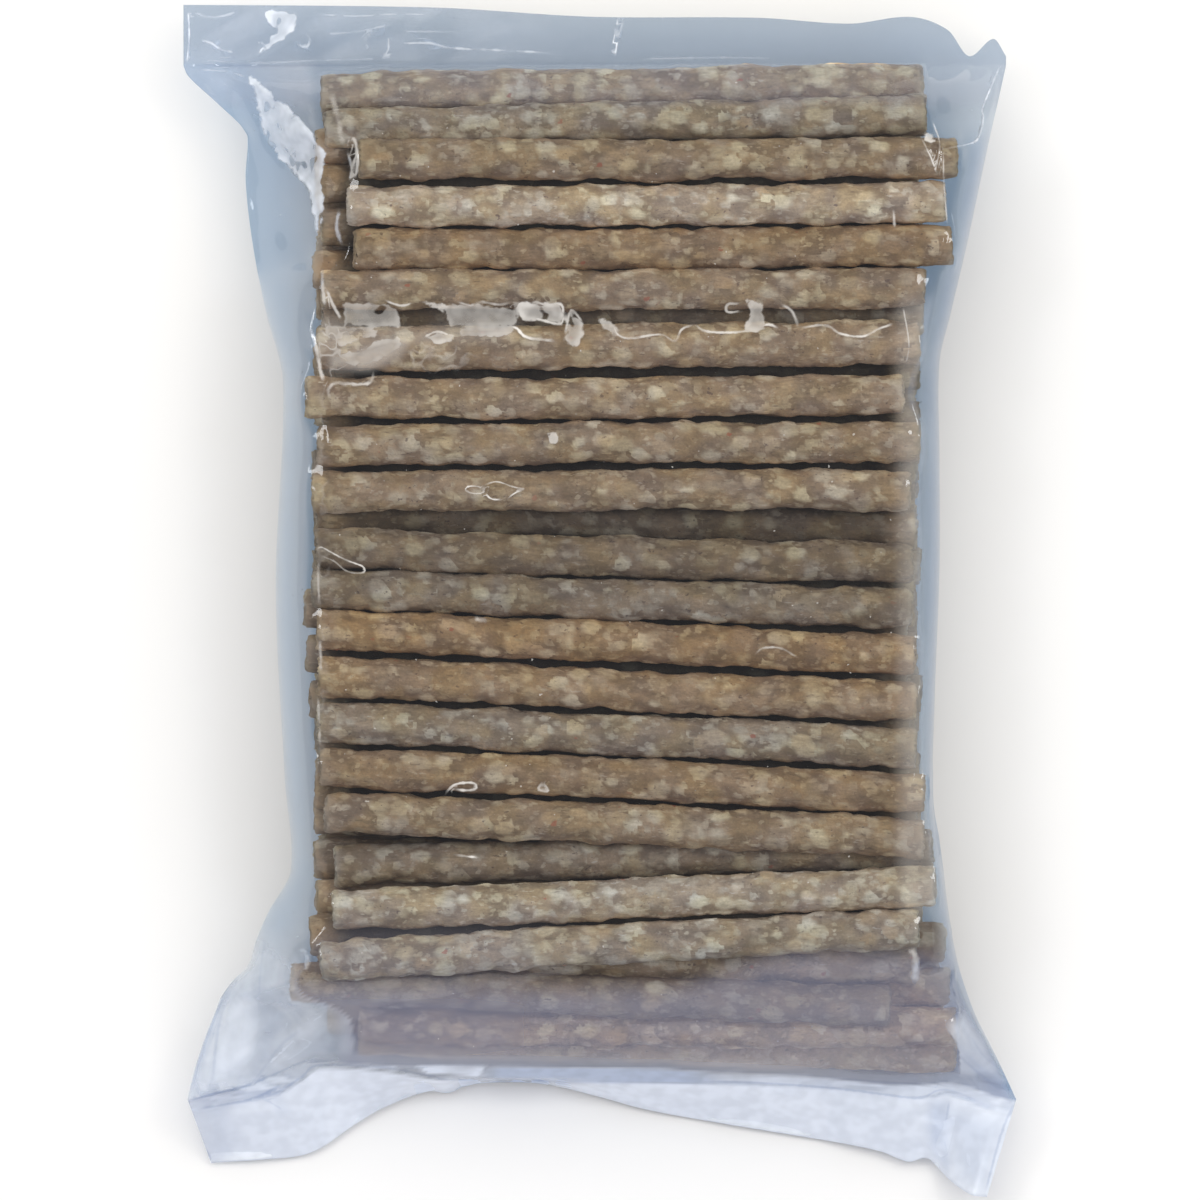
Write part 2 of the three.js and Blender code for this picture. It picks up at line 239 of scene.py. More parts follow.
# Painted highlights: white lines drawn where sharp creases in the film would glint. A line's points, its
# half width and how white it is.
PAINTED_GLINTS = [
    [[-86.0, 123.4], [-85.8, 118], [-86.3, 112.6], 0.22, 0.9],
    [[-85, 123.2], [-82, 122.2], [-79, 122.3], [-76, 123.2], 0.3, 0.35],
    [[-83.3, 117.4], [-81.2, 116.7], [-79.2, 115.4], [-76.4, 114.8], 0.32, 0.6],
    [[-71.2, 114.6], [-70.4, 115.6], [-69.6, 115.2], 0.42, 0.9],
    [[-63.2, 116.6], [-61.4, 115.8], [-60.6, 117.4], [-61.4, 118.9], 0.3, 0.5],
    [[-59.2, 122.7], [-50, 122.4], [-43.5, 122.8], [-35, 122.7], 0.22, 0.35],
    [[-57.3, 118.7], [-53, 118.9], [-49, 119.5], [-42, 121], 0.25, 0.3],
    [[-48.4, 115], [-49, 117.5], [-47.5, 118.9], 0.45, 0.25],
    [[-44.2, 118], [-44.2, 115.4], [-45, 114.2], [-43.3, 114.4], 0.26, 0.45],
    [[-42, 116.7], [-35.4, 116.7], [-31, 115.7], [-20, 115.2], [-8.4, 114.6], 0.28, 0.5],
    [[-42, 119.2], [-25, 119], 0.22, 0.22],
    [[3.8, 121.9], [2.9, 117.5], [2.5, 114.6], 0.2, 0.9],
    [[5.0, 121.7], [3.7, 117.5], [3.2, 114.2], 0.2, 0.9],
    [[-85.4, 113.4], [-73, 112.6], [-56, 113.2], [-40, 113.6], 0.25, 0.22],
    [[-85.4, 111.2], [-78, 110.8], [-74, 109.6], 0.22, 0.3],
    [[8.3, 113.4], [25, 113.7], [36, 113.5], 0.22, 0.25],
    [[83.7, 112.3], [82, 108.3], [79.8, 103], [80, 101], [79, 97], [77.2, 95.4], [72, 94.2], 0.2, 0.85],
    [[66.9, 96.3], [68.5, 93], [70, 89.2], 0.2, 0.75],
    [[69.2, 100], [70.6, 95.2], [69.8, 90], 0.18, 0.5],
    [[71.3, 93.5], [71.5, 87], [72.2, 78.5], 0.18, 0.45],
    [[61, 81.4], [61.2, 78.2], 0.3, 0.6],
    [[-36.5, 55], [-34, 56.2], [-31.2, 55.4], 0.3, 0.6],
    [[-20.5, 57.4], [-17.5, 57], [-15.2, 55], [-9.6, 54.3], 0.32, 0.95],
    [[-44.5, 62.6], [-41.6, 61.6], [-39.4, 61.9], 0.25, 0.6],
    [[-36.8, 62.4], [-34.4, 61.8], [-32.4, 60.2], 0.3, 0.6],
    [[-29.6, 62.4], [-27, 61.6], [-24.5, 62.3], [-21, 61.8], [-18.6, 62.2], 0.3, 0.5],
    [[-17.4, 60.6], [-17.5, 62.2], [-15, 61.6], [-13.4, 62.4], [-11.4, 61.8], [-8.2, 61.9],
     [-7.7, 60], [-8.2, 57.8],
     [-12, 58.6], [-15, 59.4], [-17.2, 60.4], 0.3, 0.7],
    [[-47.1, 48.1], [-47.6, 45.8], [-49.7, 45.2], [-52.5, 45.4], [-55.3, 45.4], [-56.5, 44],
     [-56, 42.1], 0.36, 0.7],
    [[-57.8, 69.2], [-57.6, 65], [-57.2, 61.7], 0.35, 0.5],
    [[-56.9, 65], [-55.2, 61.2], [-53.9, 58.9], 0.35, 0.55],
    [[-60.4, 57.3], [-59.2, 53.8], [-58.3, 49.2], [-57.6, 45.8], 0.4, 0.6],
    [[-7.2, 55.4], [-6.2, 60.4], [-4.6, 59.4], [-3.5, 57.5], 0.3, 0.55],
    [[-51.6, 96.6], [-50.8, 95.4], [-50.4, 91], [-51, 88], 0.35, 0.5],
    [[-56, 106], [-54.6, 101], [-53.4, 95], 0.6, 0.25],
    [[-52.4, 93.5], [-51.6, 90], [-52, 87.6], 0.3, 0.4],
    [[-54.2, 81.2], [-54.8, 78], [-53.8, 74.5], 0.4, 0.4],
    [[-58.7, 86.6], [-59, 81], [-58.8, 76.8], 0.4, 0.6],
    [[-58.4, 8.6], [-58.6, 4], [-58.2, -1], 0.3, 0.3],
    [[-58.2, -8], [-58, -14.5], 0.35, 0.45],
    [[-58.6, -20], [-58.2, -30], 0.3, 0.3],
    [[0, 58.7], [2.5, 57.7], [3.7, 55.6], [6.3, 54.8], [12.5, 55.6], [15.6, 54.2], [17, 56.7],
     [19.8, 57.7], 0.25, 0.6],
    [[19.8, 57.7], [21.9, 56.3], [27, 56], [31.7, 56.6], [35, 57.7], [37, 56.9], 0.28, 0.7],
    [[28.9, 62], [26.5, 61.9], [26.4, 60.3], [29, 60.4], 0.25, 0.5],
    [[38, 61.7], [40, 60.3], [41.2, 57.3], 0.34, 0.5],
    [[41.7, 57], [46.9, 57.5], [50, 55.8], [54.6, 55.2], [58, 56.8], [60.8, 57.8], 0.26, 0.75],
    [[62.9, 61.7], [63.8, 57], [64.2, 53], [63.5, 49], 0.24, 0.5],
    [[-28.1, 23.1], [-27.5, 24], [-25, 23.9], [-24.2, 22.7], [-26.5, 22.6], [-28.1, 23.1], 0.16, 0.85],
    [[-24.2, 24.2], [-21.5, 25], [-18, 23.9], [-15.6, 23.4], [-17.4, 22.8], [-19, 21.7], 0.18, 0.85],
    [[-24.2, 24.2], [-23.8, 22.6], [-22.5, 21.4], [-20.6, 21.3], 0.18, 0.85],
    [[-59, 10.8], [-58, 11.4], [-56, 10.4], [-53, 8.8], [-49.4, 7.4], [-49, 6.2], [-51, 6],
     [-53, 6.6], [-55.2, 8.4], [-58.4, 9.8], 0.18, 0.75],
    [[32.4, -10.7], [33.9, -9.6], [37.5, -9.6], [40.8, -11.4], 0.22, 0.5],
    [[-32, -39.6], [-30, -37.9], [-26.5, -37.6], [-25.6, -38.6], [-27.4, -39.2],
     [-30.2, -38.9], 0.26, 0.75],
    [[-12, -37.6], [-12.8, -39], [-10.8, -39.2], [-12, -37.6], 0.3, 0.8],
    [[-30, -52.6], [-27.5, -52.9], [-25.6, -53.1], 0.24, 0.8],
    [[-26, -3.5], [-23.6, -3.8], 0.5, 0.6],
    [[-62.5, -90], [-66, -93.5], [-69.5, -96.8], 0.5, 0.6],
    [[-62.4, -72], [-60.8, -74], [-61.4, -76.5], 0.6, 0.35],
    [[64.6, -72], [65.6, -74.5], [65.5, -79.4], 0.7, 0.4],
    [[-79, -99.6], [-74, -98.8], [-69, -96.4], 0.3, 0.35],
    [[-61.5, -84.2], [-58.6, -85.2], [-57.6, -87.2], 0.5, 0.4],
    [[-61.2, -86.2], [-59.2, -90.1], 0.5, 0.4],
    [[-64.5, -90.8], [-60.5, -91.8], [-62.5, -93.8], [-67.8, -97.4], 0.45, 0.5],
    [[-65.8, -88.8], [-64.5, -86.9], 0.4, 0.45],
    [[-55.6, -99], [-49, -98.4], [-42, -98.8], [-36, -99], 0.4, 0.5],
    [[2, -99.4], [10, -99.1], [20, -99.4], [31, -99.9], 0.35, 0.4],
    [[34, -99.6], [46, -100.4], [58, -102.2], 0.35, 0.5],
    [[72, -101.2], [76, -101.4], [84, -105.4], 0.7, 0.6],
    [[-60.6, -88], [-58, -86.4], [-56.8, -89], 0.35, 0.5],
]
# Painted glare: patches of film painted white where flat facets of it would mirror the light. An outline's
# points and how white they are.
PAINTED_GLARES = [
    [
        [-73.3, 109.7], [-68, 105.6], [-62.1, 100.3], [-60.2, 97.5], [-57.4, 93.4], [-57.8, 89],
        [-57.6, 77.7], [-60, 81.2], [-60.4, 86], [-66.2, 92.3], [-69.6, 96], [-71.2, 104.3], 0.62,
    ],
    [[-69.8, 123.4], [-61.8, 123.6], [-65.4, 118], [-69.4, 115.5], [-71.2, 116.6], [-68, 118.8], 0.7],
    [[-53.4, 62.2], [-46.6, 62.0], [-42.4, 61.8], [-41.6, 57.4], [-53.2, 57.3], 0.35],
    [[-36.4, 62.2], [-31, 61.4], [-31.6, 60.6], [-34.6, 61.2], 0.5],
    [[-32.4, 61.4], [-27, 61.8], [-17.5, 60.8], [-17.5, 57.6], [-31, 57.2], 0.34],
    [[-17.3, 61.8], [-7.8, 62], [-7.6, 57.9], [-16, 58.8], 0.55],
    [[-57.2, 57.6], [-48.6, 57.2], [-46.0, 55.8], [-49.5, 54.6], [-53.6, 53.2], [-56.8, 54.6], 0.36],
    [[-54.8, 51.2], [-51, 51.8], [-46.5, 53.8], [-42, 54.8], [-41.4, 53.2], [-44, 51.4],
     [-47.6, 49.4], [-54.6, 49.4], 0.36],
    [[-36.6, 54.8], [-33, 56.2], [-29.4, 56], [-31, 54.4], [-34, 53.8], 0.5],
    [[-29.6, 57], [-22, 57.4], [-17.6, 57.2], [-18.4, 55.8], [-24, 55.4], [-29, 55], 0.38],
    [[-7.4, 54.6], [-6.4, 60.2], [-4.0, 58.6], [-3.6, 55.4], [-5.4, 53], 0.42],
    [[-0.4, 59.2], [2.4, 58], [4.2, 56.4], [3.0, 55.2], [0.8, 56.8], 0.44],
    [[30.4, 62.8], [34, 61.8], [34.4, 57.6], [36.4, 56.6], [30.2, 56.4], [31.4, 59.8], 0.42],
    [[-10.6, 35], [-9.2, 34.6], [-8.6, 33.4], [-10.2, 33.2], 0.4],
    [[67.4, 97.8], [69.3, 97.4], [69.4, 95.8], [67.6, 96.2], 0.6],
]
# Where the film is white: whitened by small creases, painted sheen where it would mirror the light, and
# painted light that lifts it out of the stack's shadow. An outline's points, how white it is and how soft
# its edge.
WHITENED_AND_SHEEN = [
    [[-71, -69], [-66, -73], [-58, -82], [-51, -86], [-51, -95], [-70, -101], [-86, -105], [-84, -88],
     [-76, -72], 0.32, 4.5],
    [[-73.4, -77.7], [-70.4, -85.5], [-71.7, -94.8], [-75, -99.4], [-81.6, -101.3], [-80.3, -92],
     [-77, -83], 0.54, 2.5],
    [[-65.8, -88.8], [-57.9, -84.2], [-54.6, -88.8], [-61.2, -94.8], [-69.7, -98.7],
     [-67.8, -93.4], 0.4, 2.2],
    [[73, -88], [76, -86], [80, -92], [84.5, -100], [75, -98.5], [73, -95], 0.4, 1.6],
    [[-86.6, 111.4], [-76, 111], [-76, 104], [-80, 103], 0.1, 1.6],
    [[-56, 51.6], [-50, 52.6], [-44, 55], [-39, 54.6], [-42, 50.6], [-48, 48.4], [-56, 48.6], 0.3, 1.6],
    [[-58, 58.4], [-48, 58], [-38, 56], [-28, 58], [-18, 57.6], [-18, 55], [-36, 53.6], [-50, 52],
     [-58, 52], 0.13, 2],
    [[-39, -96.7], [-24, -96.9], [-25, -99.3], [-36, -98.6], 0.95, 0.5],
]
# Folds of the loose film that lie in shade: an outline's points, how dark it is and how soft its edge is.
SHADED = [
    [[69, -104.5], [72.6, -104.5], [73.6, -110], [72.6, -118.5], [70.6, -116], [68.6, -110], 0.24, 1.5],
    [[73, -106], [84, -108], [80, -122], [76, -120], 0.17, 3],
    [[-84.4, -88], [-81, -76], [-78.4, -76], [-81.6, -90], [-83.6, -101], [-85.4, -101], 0.1, 1.5],
    [[-70.4, -101], [-67.5, -101.5], [-65, -106.5], [-67, -107.5], 0.1, 1.5],
    [[-72, -80], [-66, -86], [-70, -97.5], [-72.5, -99], [-71, -90], 0.1, 1.5],
    [[-58, -90], [-54, -88], [-54, -96.5], [-66, -96.5], 0.1, 1.5],
]
# Dark lines in the film, where it is double or bent sharply; where it bends, the dark is painted shade. A
# line's points, its half width and depth.
SEAL_TOP_LINE = [
    [-86, -104.2], [-73.5, -101], [-62.5, -96.2], [-58.3, -95.6], [-45.8, -96.3], [-34, -96.6],
    [-9.7, -96.8], [12.5, -97.2], [20.8, -97.7], [41.7, -98.7], [58.3, -100.4], [68.7, -100.6], [74, -100.2],
    [85.8, -104.2],
]
SEAL_LOW_LINE = [
    [-84.2, -106.2], [-70.4, -103.7], [-62.5, -99.4], [-58.7, -96.7], [-44.8, -97.3], [-35.4, -99],
    [-27, -100], [20.8, -100.2], [37.5, -100.8], [52, -102], [63.5, -103.5], [67.7, -103.5], [72.9, -102],
    [84.4, -106.9],
]
DARK_LINES = [
    [[-86, -104.2], [-80, -102.7], [-73.5, -101], [-68.5, -98.8], 0.34, 0.4],
    [[-84.2, -106.1], [-77.5, -105], [-71.7, -103.5], [-66, -100.6], 0.34, 0.44],
    [*SEAL_TOP_LINE, 0.26, 0.26],
    [*SEAL_LOW_LINE, 0.32, 0.32],
    [[-81, -100.8], [-79.9, -90], [-77.8, -82.7], [-73, -73], 0.35, 0.16],
    [[-71.3, -87.2], [-71, -81], [-70.4, -74], [-69.6, -70], 0.3, 0.12],
    [[-73.3, -101.6], [-69.7, -96.6], [-66, -92], [-62.5, -89.4], 0.4, 0.16],
    [[-72, -103.4], [-69, -104.6], [-66.2, -106.4], 0.3, 0.2],
    [[73, -104], [72.4, -108.5], [71.8, -112], [72.8, -116.6], 0.4, 0.32],
    [[73, -92.4], [77, -96.6], [84.5, -102.8], 0.35, 0.2],
    [[77.6, -91], [80, -94.6], [83.6, -97.6], 0.3, 0.15],
    [[-86.4, 112.1], [-60, 112], [0, 112.2], [80, 112], 0.16, 0.12],
    [[-86.2, -105], [-84.2, -112], [-81.4, -117], 0.35, 0.3],
    [[-85.6, -103], [-82.4, -92], [-77.8, -81], [-70.6, -66.4], 0.4, 0.2],
    [[86.6, -104.4], [83.6, -112], [80.6, -123.6], 0.35, 0.3],
]
# What a film lets through, in the sharing of red, green and blue: over the sticks, where it is clearest, and
# times that at the rims, which is painted shading that evens out the light of the floor seen through them.
FILM_TINT = np.array([0.737, 0.798, 0.855])
CLEAR_TINT = np.array([0.95, 0.965, 0.99])
LEFT_RIM_SHADING = np.array([0.99, 1.015, 1.045])
RIGHT_RIM_SHADING = np.array([0.755, 0.82, 0.905])

# The film's zones, with their soft edges: the y over which its flanks pass into the ears at the top and into
# the corners at the bottom, the x where the bottom seal is blue, and the y of the sticks' dull right ends.
TOP_EARS = (92, 102)
LOW_CORNERS = (-55, -92)
BLUE_BAND = (-27, -20, 16, 30)
RIGHT_ENDS_Y = (-70, -60, 60, 66)
# How white those zones are, and the flap at its left corner and elsewhere: partly the film's own whitening,
# partly painted sheen, and on the flap also painted light that lifts it out of the bag's shadow.
ABOVE_BAND_FROST = 0.12
BLUE_BAND_FROST = 0.88
RIGHT_ENDS_FROST = 0.15
FLAP_FROST_AND_LIGHT = (0.3, 0.92)
# How hazy the film is all over, and what is added over the top stick, the lowest ones and the low left ends.
VEIL, TOP_VEIL, LOW_VEIL, LOW_LEFT_VEIL = 0.01, 0.12, 0.34, 0.09

# ---- Helpers ----


def through(stations, at):
    """A smooth curve through [at, value] stations in rising order, held level beyond its ends."""
    places, values = np.array(stations, float).T
    last = len(places) - 1
    before, after = np.maximum(np.arange(last + 1) - 1, 0), np.minimum(np.arange(last + 1) + 1, last)
    slope = (values[after] - values[before]) / (places[after] - places[before])
    i = np.clip(np.searchsorted(places, at, side="right") - 1, 0, last - 1)
    span = places[i + 1] - places[i]
    t = np.clip((at - places[i]) / span, 0, 1)
    rise = t * t * (3 - 2 * t)
    bend = t * (1 - t) * ((1 - t) * slope[i] - t * slope[i + 1]) * span
    return values[i] * (1 - rise) + values[i + 1] * rise + bend


def lerp(a, b, t):
    return a + (b - a) * t


def smoothstep(value, low, high):
    t = np.clip((value - low) / (high - low), 0, 1)
    return t * t * (3 - 2 * t)


def between(value, low, low_end, high_start, high):
    """1 inside a range with two soft edges, and 0 outside it."""
    return smoothstep(value, low, low_end) * smoothstep(value, high, high_start)


def ripple(waves, u):
    return sum(height * np.sin(turn * u + phase) for height, turn, phase in waves)


def soft_noise(x, y, cell, seed):
    """Smooth noise from -1 to 1, with hills about one cell across."""
    table = np.random.default_rng(seed).uniform(-1, 1, (64, 64))
    column, row = np.floor(x / cell).astype(int), np.floor(y / cell).astype(int)
    tx, ty = x / cell - column, y / cell - row
    tx, ty = tx * tx * (3 - 2 * tx), ty * ty * (3 - 2 * ty)
    row, column = row % 64, column % 64
    next_row, next_column = (row + 1) % 64, (column + 1) % 64
    low = lerp(table[row, column], table[row, next_column], tx)
    high = lerp(table[next_row, column], table[next_row, next_column], tx)
    return lerp(low, high, ty)


def placed(name, data):
    made = bpy.data.objects.new(name, data)
    bpy.context.scene.collection.objects.link(made)
    return made


def mesh_object(name, points, faces):
    mesh = bpy.data.meshes.new(name)
    mesh.from_pydata(np.asarray(points) * MM, [], faces)
    mesh.update()
    return placed(name, mesh)


def smooth_shaded(piece):
    piece.data.polygons.foreach_set("use_smooth", np.ones(len(piece.data.polygons), bool))
    return piece


def add_attribute(piece, name, values):
    kind = "FLOAT_VECTOR" if np.ndim(values) == 2 else "FLOAT"
    attribute = piece.data.attributes.new(name, kind, "POINT")
    field = "vector" if kind == "FLOAT_VECTOR" else "value"
    attribute.data.foreach_set(field, np.asarray(values, np.float32).ravel())


class Graph:
    """Adds nodes to a tree, and links them as it does."""

    def __init__(self, tree):
        self.tree = tree

    def node(self, kind, inputs=None, **settings):
        made = self.tree.nodes.new(kind)
        for key, value in settings.items():
            setattr(made, key, value)
        for key, value in (inputs or {}).items():
            self.feed(made.inputs[key], value)
        return made

    def feed(self, socket, value):
        if isinstance(value, bpy.types.NodeSocket):
            self.tree.links.new(value, socket)
        else:
            socket.default_value = value

    def math(self, operation, *values, clamp=False):
        inputs = dict(enumerate(values))
        return self.node("ShaderNodeMath", inputs, operation=operation, use_clamp=clamp).outputs[0]

    def fold(self, operation, first, *others):
        """The operation taken over all the values, one after the other."""
        for other in others:
            first = self.math(operation, first, other)
        return first

    def vector(self, operation, *values):
        inputs = dict(enumerate(values))
        return self.node("ShaderNodeVectorMath", inputs, operation=operation).outputs[0]

    def scaled(self, vector, factor):
        inputs = {0: vector, "Scale": factor}
        return self.node("ShaderNodeVectorMath", inputs, operation="SCALE").outputs[0]

    def smooth(self, value, low, high, start=0.0, end=1.0):
        """value taken from low..high to start..end, with a soft start and end."""
        inputs = {"Value": value, "From Min": low, "From Max": high, "To Min": start, "To Max": end}
        return self.node("ShaderNodeMapRange", inputs, interpolation_type="SMOOTHSTEP").outputs[0]

    def noise(self, place, scale, detail=2.0, roughness=0.5, output=0):
        inputs = {"Vector": place, "Scale": scale, "Detail": detail, "Roughness": roughness}
        return self.node("ShaderNodeTexNoise", inputs).outputs[output]

    def kept(self, name, output="Fac"):
        """What the mesh keeps under that name."""
        return self.node("ShaderNodeAttribute", attribute_name=name).outputs[output]

    def parts(self, vector):
        return self.node("ShaderNodeSeparateXYZ", {"Vector": vector}).outputs

    def mix_colours(self, share, first, second, blend="MIX"):
        inputs = {0: share, 6: first, 7: second}
        return self.node("ShaderNodeMix", inputs, data_type="RGBA", blend_type=blend).outputs[2]

    def cover(self, base, colour, *shares):
        """The base with a colour laid over it by the product of the shares."""
        return self.mix_colours(self.fold("MULTIPLY", *shares), base, colour)

    def tinted(self, base, colour):
        return self.mix_colours(1.0, base, colour, "MULTIPLY")

    def mix_shaders(self, share, first, second):
        inputs = {0: share, 1: first.outputs[0], 2: second.outputs[0]}
        return self.node("ShaderNodeMixShader", inputs)


# ---- The sticks' stacking ----


def stacked_sticks():
    """Every stick as a dict, top layer first: places of its two ends and its tone."""
    sticks = []

    def add(x, y, rise, drop, pale, warm, fine, shade_lifted_at_end=0.0):
        radius = STICK_RADIUS + (0 if fine else random.uniform(-0.15, 0.05))
        z = BAG_HEIGHT - drop - STICK_RADIUS
        ends = np.array([[y - rise / 2, z], [y + rise / 2, z]])
        tone = {"pale": pale, "warm": warm, "shade_lifted_at_end": shade_lifted_at_end}
        sticks.append({"x": x, "ends": ends, "radius": radius, "fine": fine, **tone})

    for i, (*place, pale, warm) in enumerate(TOP_STICKS):
        add(*place, pale, warm, True)
        sticks[-1]["radius"] += THICKER.get(i, 0)
    for i, (*place, pale) in enumerate(SECOND_STICKS):
        # A negative paleness here is painted shade in the gaps, lifted toward the stick's ends.
        add(*place, pale, random.uniform(*SECOND_WARMTH), i in VISIBLE_SECOND, -0.8 * pale)
    for layer in range(2, LAYERS):
        short = layer % 2
        for i in range(FULL_ROW - short):
            y = ROW_START + short * ROW_SHIFT + i * ROW_STEP + random.uniform(-0.3, 0.3)
            x, rise = random.uniform(*LOW_X), random.uniform(*LOW_RISE)
            x += LOW_SHIFT[layer] if y < SHIFTED_BELOW else 0.0
            x = np.clip(x, *UPPER_X) if y > UPPER_START else x
            pale, warm = random.uniform(*LOW_PALENESS), random.uniform(*LOW_WARMTH)
            add(x, y, rise, layer * LAYER_STEP, pale, warm, False)
    settle(sticks, fixed=len(TOP_STICKS) + len(SECOND_STICKS))
    return sticks


def settle(sticks, fixed, rounds=300):
    """Pushes the sticks below the two upper layers apart, at both their ends, inside the bag."""
    ends = np.array([stick["ends"] for stick in sticks])
    radii = np.array([stick["radius"] for stick in sticks])
    free = np.arange(len(sticks)) >= fixed
    apart = radii[:, None] + radii[None] + 0.1
    share = np.where(free[:, None] & free[None], 0.5, 1.0)[..., None]
    for _ in range(rounds):
        for side in (0, 1):
            place = ends[:, side]
            away = place[:, None] - place[None]
            distance = np.linalg.norm(away, axis=2) + np.eye(len(sticks)) * 1e3
            push = np.clip(apart - distance, 0, None)[..., None] * away / distance[..., None]
            place[free] += 0.7 * (push * share).sum(1)[free]
            y, z = place[:, 0], place[:, 1]
            z[free] = np.maximum(z, radii + LOWEST_GAP)[free]
            low, high = (
                limit["y"] + np.clip(limit["below"] - z, 0, None) * limit["slope"]
                for limit in (STACK_START, STACK_END)
            )
            y[free] = np.clip(y, low, high)[free]
    for stick, places in zip(sticks, ends):
        stick["ends"] = places


# ---- One stick's mesh ----


def stick_mesh(stick, rings, sides):
    """Points, faces and local places of one stick: a wavy bar with crushed ends."""
    radius = stick["radius"] - STICK_SLIM
    length = STICK_LENGTH + random.uniform(-LENGTH_SPREAD, LENGTH_SPREAD)
    ends = stick["ends"]
    left = np.array([stick["x"] - length / 2, *ends[0]])
    right = np.array([stick["x"] + length / 2, *ends[1]])
    axis = (right - left) / np.linalg.norm(right - left)
    across = np.cross([0, 0, 1.0], axis)
    across /= np.linalg.norm(across)
    up = np.cross(axis, across)

    caps = len(CAP_RINGS)
    factor = np.concatenate([CAP_RINGS, np.ones(rings), CAP_RINGS[::-1]])
    along = np.concatenate([np.zeros(caps), np.linspace(0.25, length - 0.25, rings), np.full(caps, length)])
    s, turn = along[:, None], np.arange(sides)[None] * 2 * np.pi / sides
    on_cap = factor[:, None] < 1

    wave = np.zeros((len(along), sides))
    for _ in range(WAVES):
        pitch, lobes = random.uniform(*WAVE_PITCH), random.integers(0, 4)
        height = random.uniform(*WAVE_HEIGHT)
        wave += height * np.sin(2 * np.pi * s / pitch + lobes * turn + random.uniform(0, 6.3))
    out = (radius + wave) * factor[:, None]
    worn = np.exp(-s / WORN_REACH) + np.exp(-(length - s) / WORN_REACH)
    out -= WORN * worn * (factor[:, None] > 0.95)
    crushed = random.uniform(-0.5, 0.5, (len(along), sides)) * on_cap
    s = s + np.clip(crushed, -CRUSHED, CRUSHED)
    bow = random.uniform(-BOW, BOW) * np.sin(np.pi * along / length)
    pitch = random.uniform(*SMALL_BOW_PITCH)
    bow += SMALL_BOW * np.sin(2 * np.pi * along / pitch + random.uniform(0, 6.3))
    sideways, upward = out * np.cos(turn), out * np.sin(turn)
    points = left + s[..., None] * axis + (sideways + bow[:, None])[..., None] * across
    points += upward[..., None] * up
    places = np.stack([s - length / 2, sideways, upward], axis=-1)
    index = np.arange(s.size).reshape(s.shape)
    a, b = index[:-1], index[1:]
    quads = np.stack([a, np.roll(a, -1, 1), np.roll(b, -1, 1), b], -1).reshape(-1, 4)
    faces = [*quads.tolist(), index[0][::-1].tolist(), index[-1].tolist()]
    from_end = np.minimum(s, length - s)
    cut = np.maximum(np.clip(1 - from_end / 2, 0, 1) * on_cap, np.exp(-from_end.clip(0) / 0.8))
    return points.reshape(-1, 3), faces, places.reshape(-1, 3), cut.ravel()


def stick_piece(name, sticks, rings, sides):
    """One piece of several sticks, with the relief of the chips that they are pressed from."""
    points, faces, start = [], [], 0
    kept = {"place": [], "cut": [], "pale": [], "warm": []}
    for stick in sticks:
        xyz, polygons, place, cut = stick_mesh(stick, rings, sides)
        points.append(xyz)
        faces += [[start + i for i in polygon] for polygon in polygons]
        kept["place"].append(place + random.uniform(-400, 400, 3))
        kept["cut"].append(cut)
        # On the second layer, the painted shade fades toward the ends.
        kept["pale"].append(stick["pale"] + stick["shade_lifted_at_end"] * smoothstep(np.abs(place[:, 0]), *END_SHADE_FADE))
        kept["warm"].append(np.full(len(xyz), stick["warm"]))
        start += len(xyz)
    piece = mesh_object(name, np.concatenate(points), faces)
    for key, values in kept.items():
        add_attribute(piece, key, np.concatenate(values))
    raise_relief(piece)
    return smooth_shaded(piece)


# ---- The chips: the relief's pattern, which the mesh keeps for the colours to read ----

CHIP_EDGE = (0.60, 0.36)  # from outside to inside, in how far a point is from a chip's middle
SOFT_CHIP_EDGE = (0.65, 0.34)
LUMP_HEIGHT = 1.15
GRIT_HEIGHT = 0.22
LARGE_CHIP_HEIGHT = 0.16
MIDDLE_CHIP_HEIGHT = 0.08
SEAM_DEPTH = 0.16
PIT_DEPTH = 0.25


def chip_layer(g, place, offset, stretch, scale, chosen):
    """Round chips of one size: how far each point is from its chip's middle, and that chip's tone."""
    moved = g.vector("MULTIPLY", g.vector("ADD", place, (offset, offset, offset)), (stretch, 1.0, 1.0))
    cell = g.node("ShaderNodeTexVoronoi", {"Vector": moved, "Scale": scale, "Randomness": 1.0}).outputs
    pick, pale, tint = g.parts(cell["Color"])
    missing = g.smooth(pick, 1 - chosen + 0.12, 1 - chosen - 0.12)
    away = g.math("ADD", cell["Distance"], missing)
    return {"away": away, "pale": pale, "tint": tint, "seam": g.smooth(cell["Distance"], 0.52, 0.80)}


def in_chip(g, away, ragged=0.0, edge=CHIP_EDGE):
    """1 inside a chip, with a soft edge."""
    return g.smooth(g.math("ADD", away, ragged), *edge)


def pits(g, place, where):
    """1 in the dark pits between chips, which lie in groups."""
    ragged = g.noise(g.vector("MULTIPLY", place, (0.7, 1.0, 1.0)), 1.15, 2.0, 0.62)
    return g.math("MULTIPLY", g.smooth(ragged, 0.645, 0.70), where)


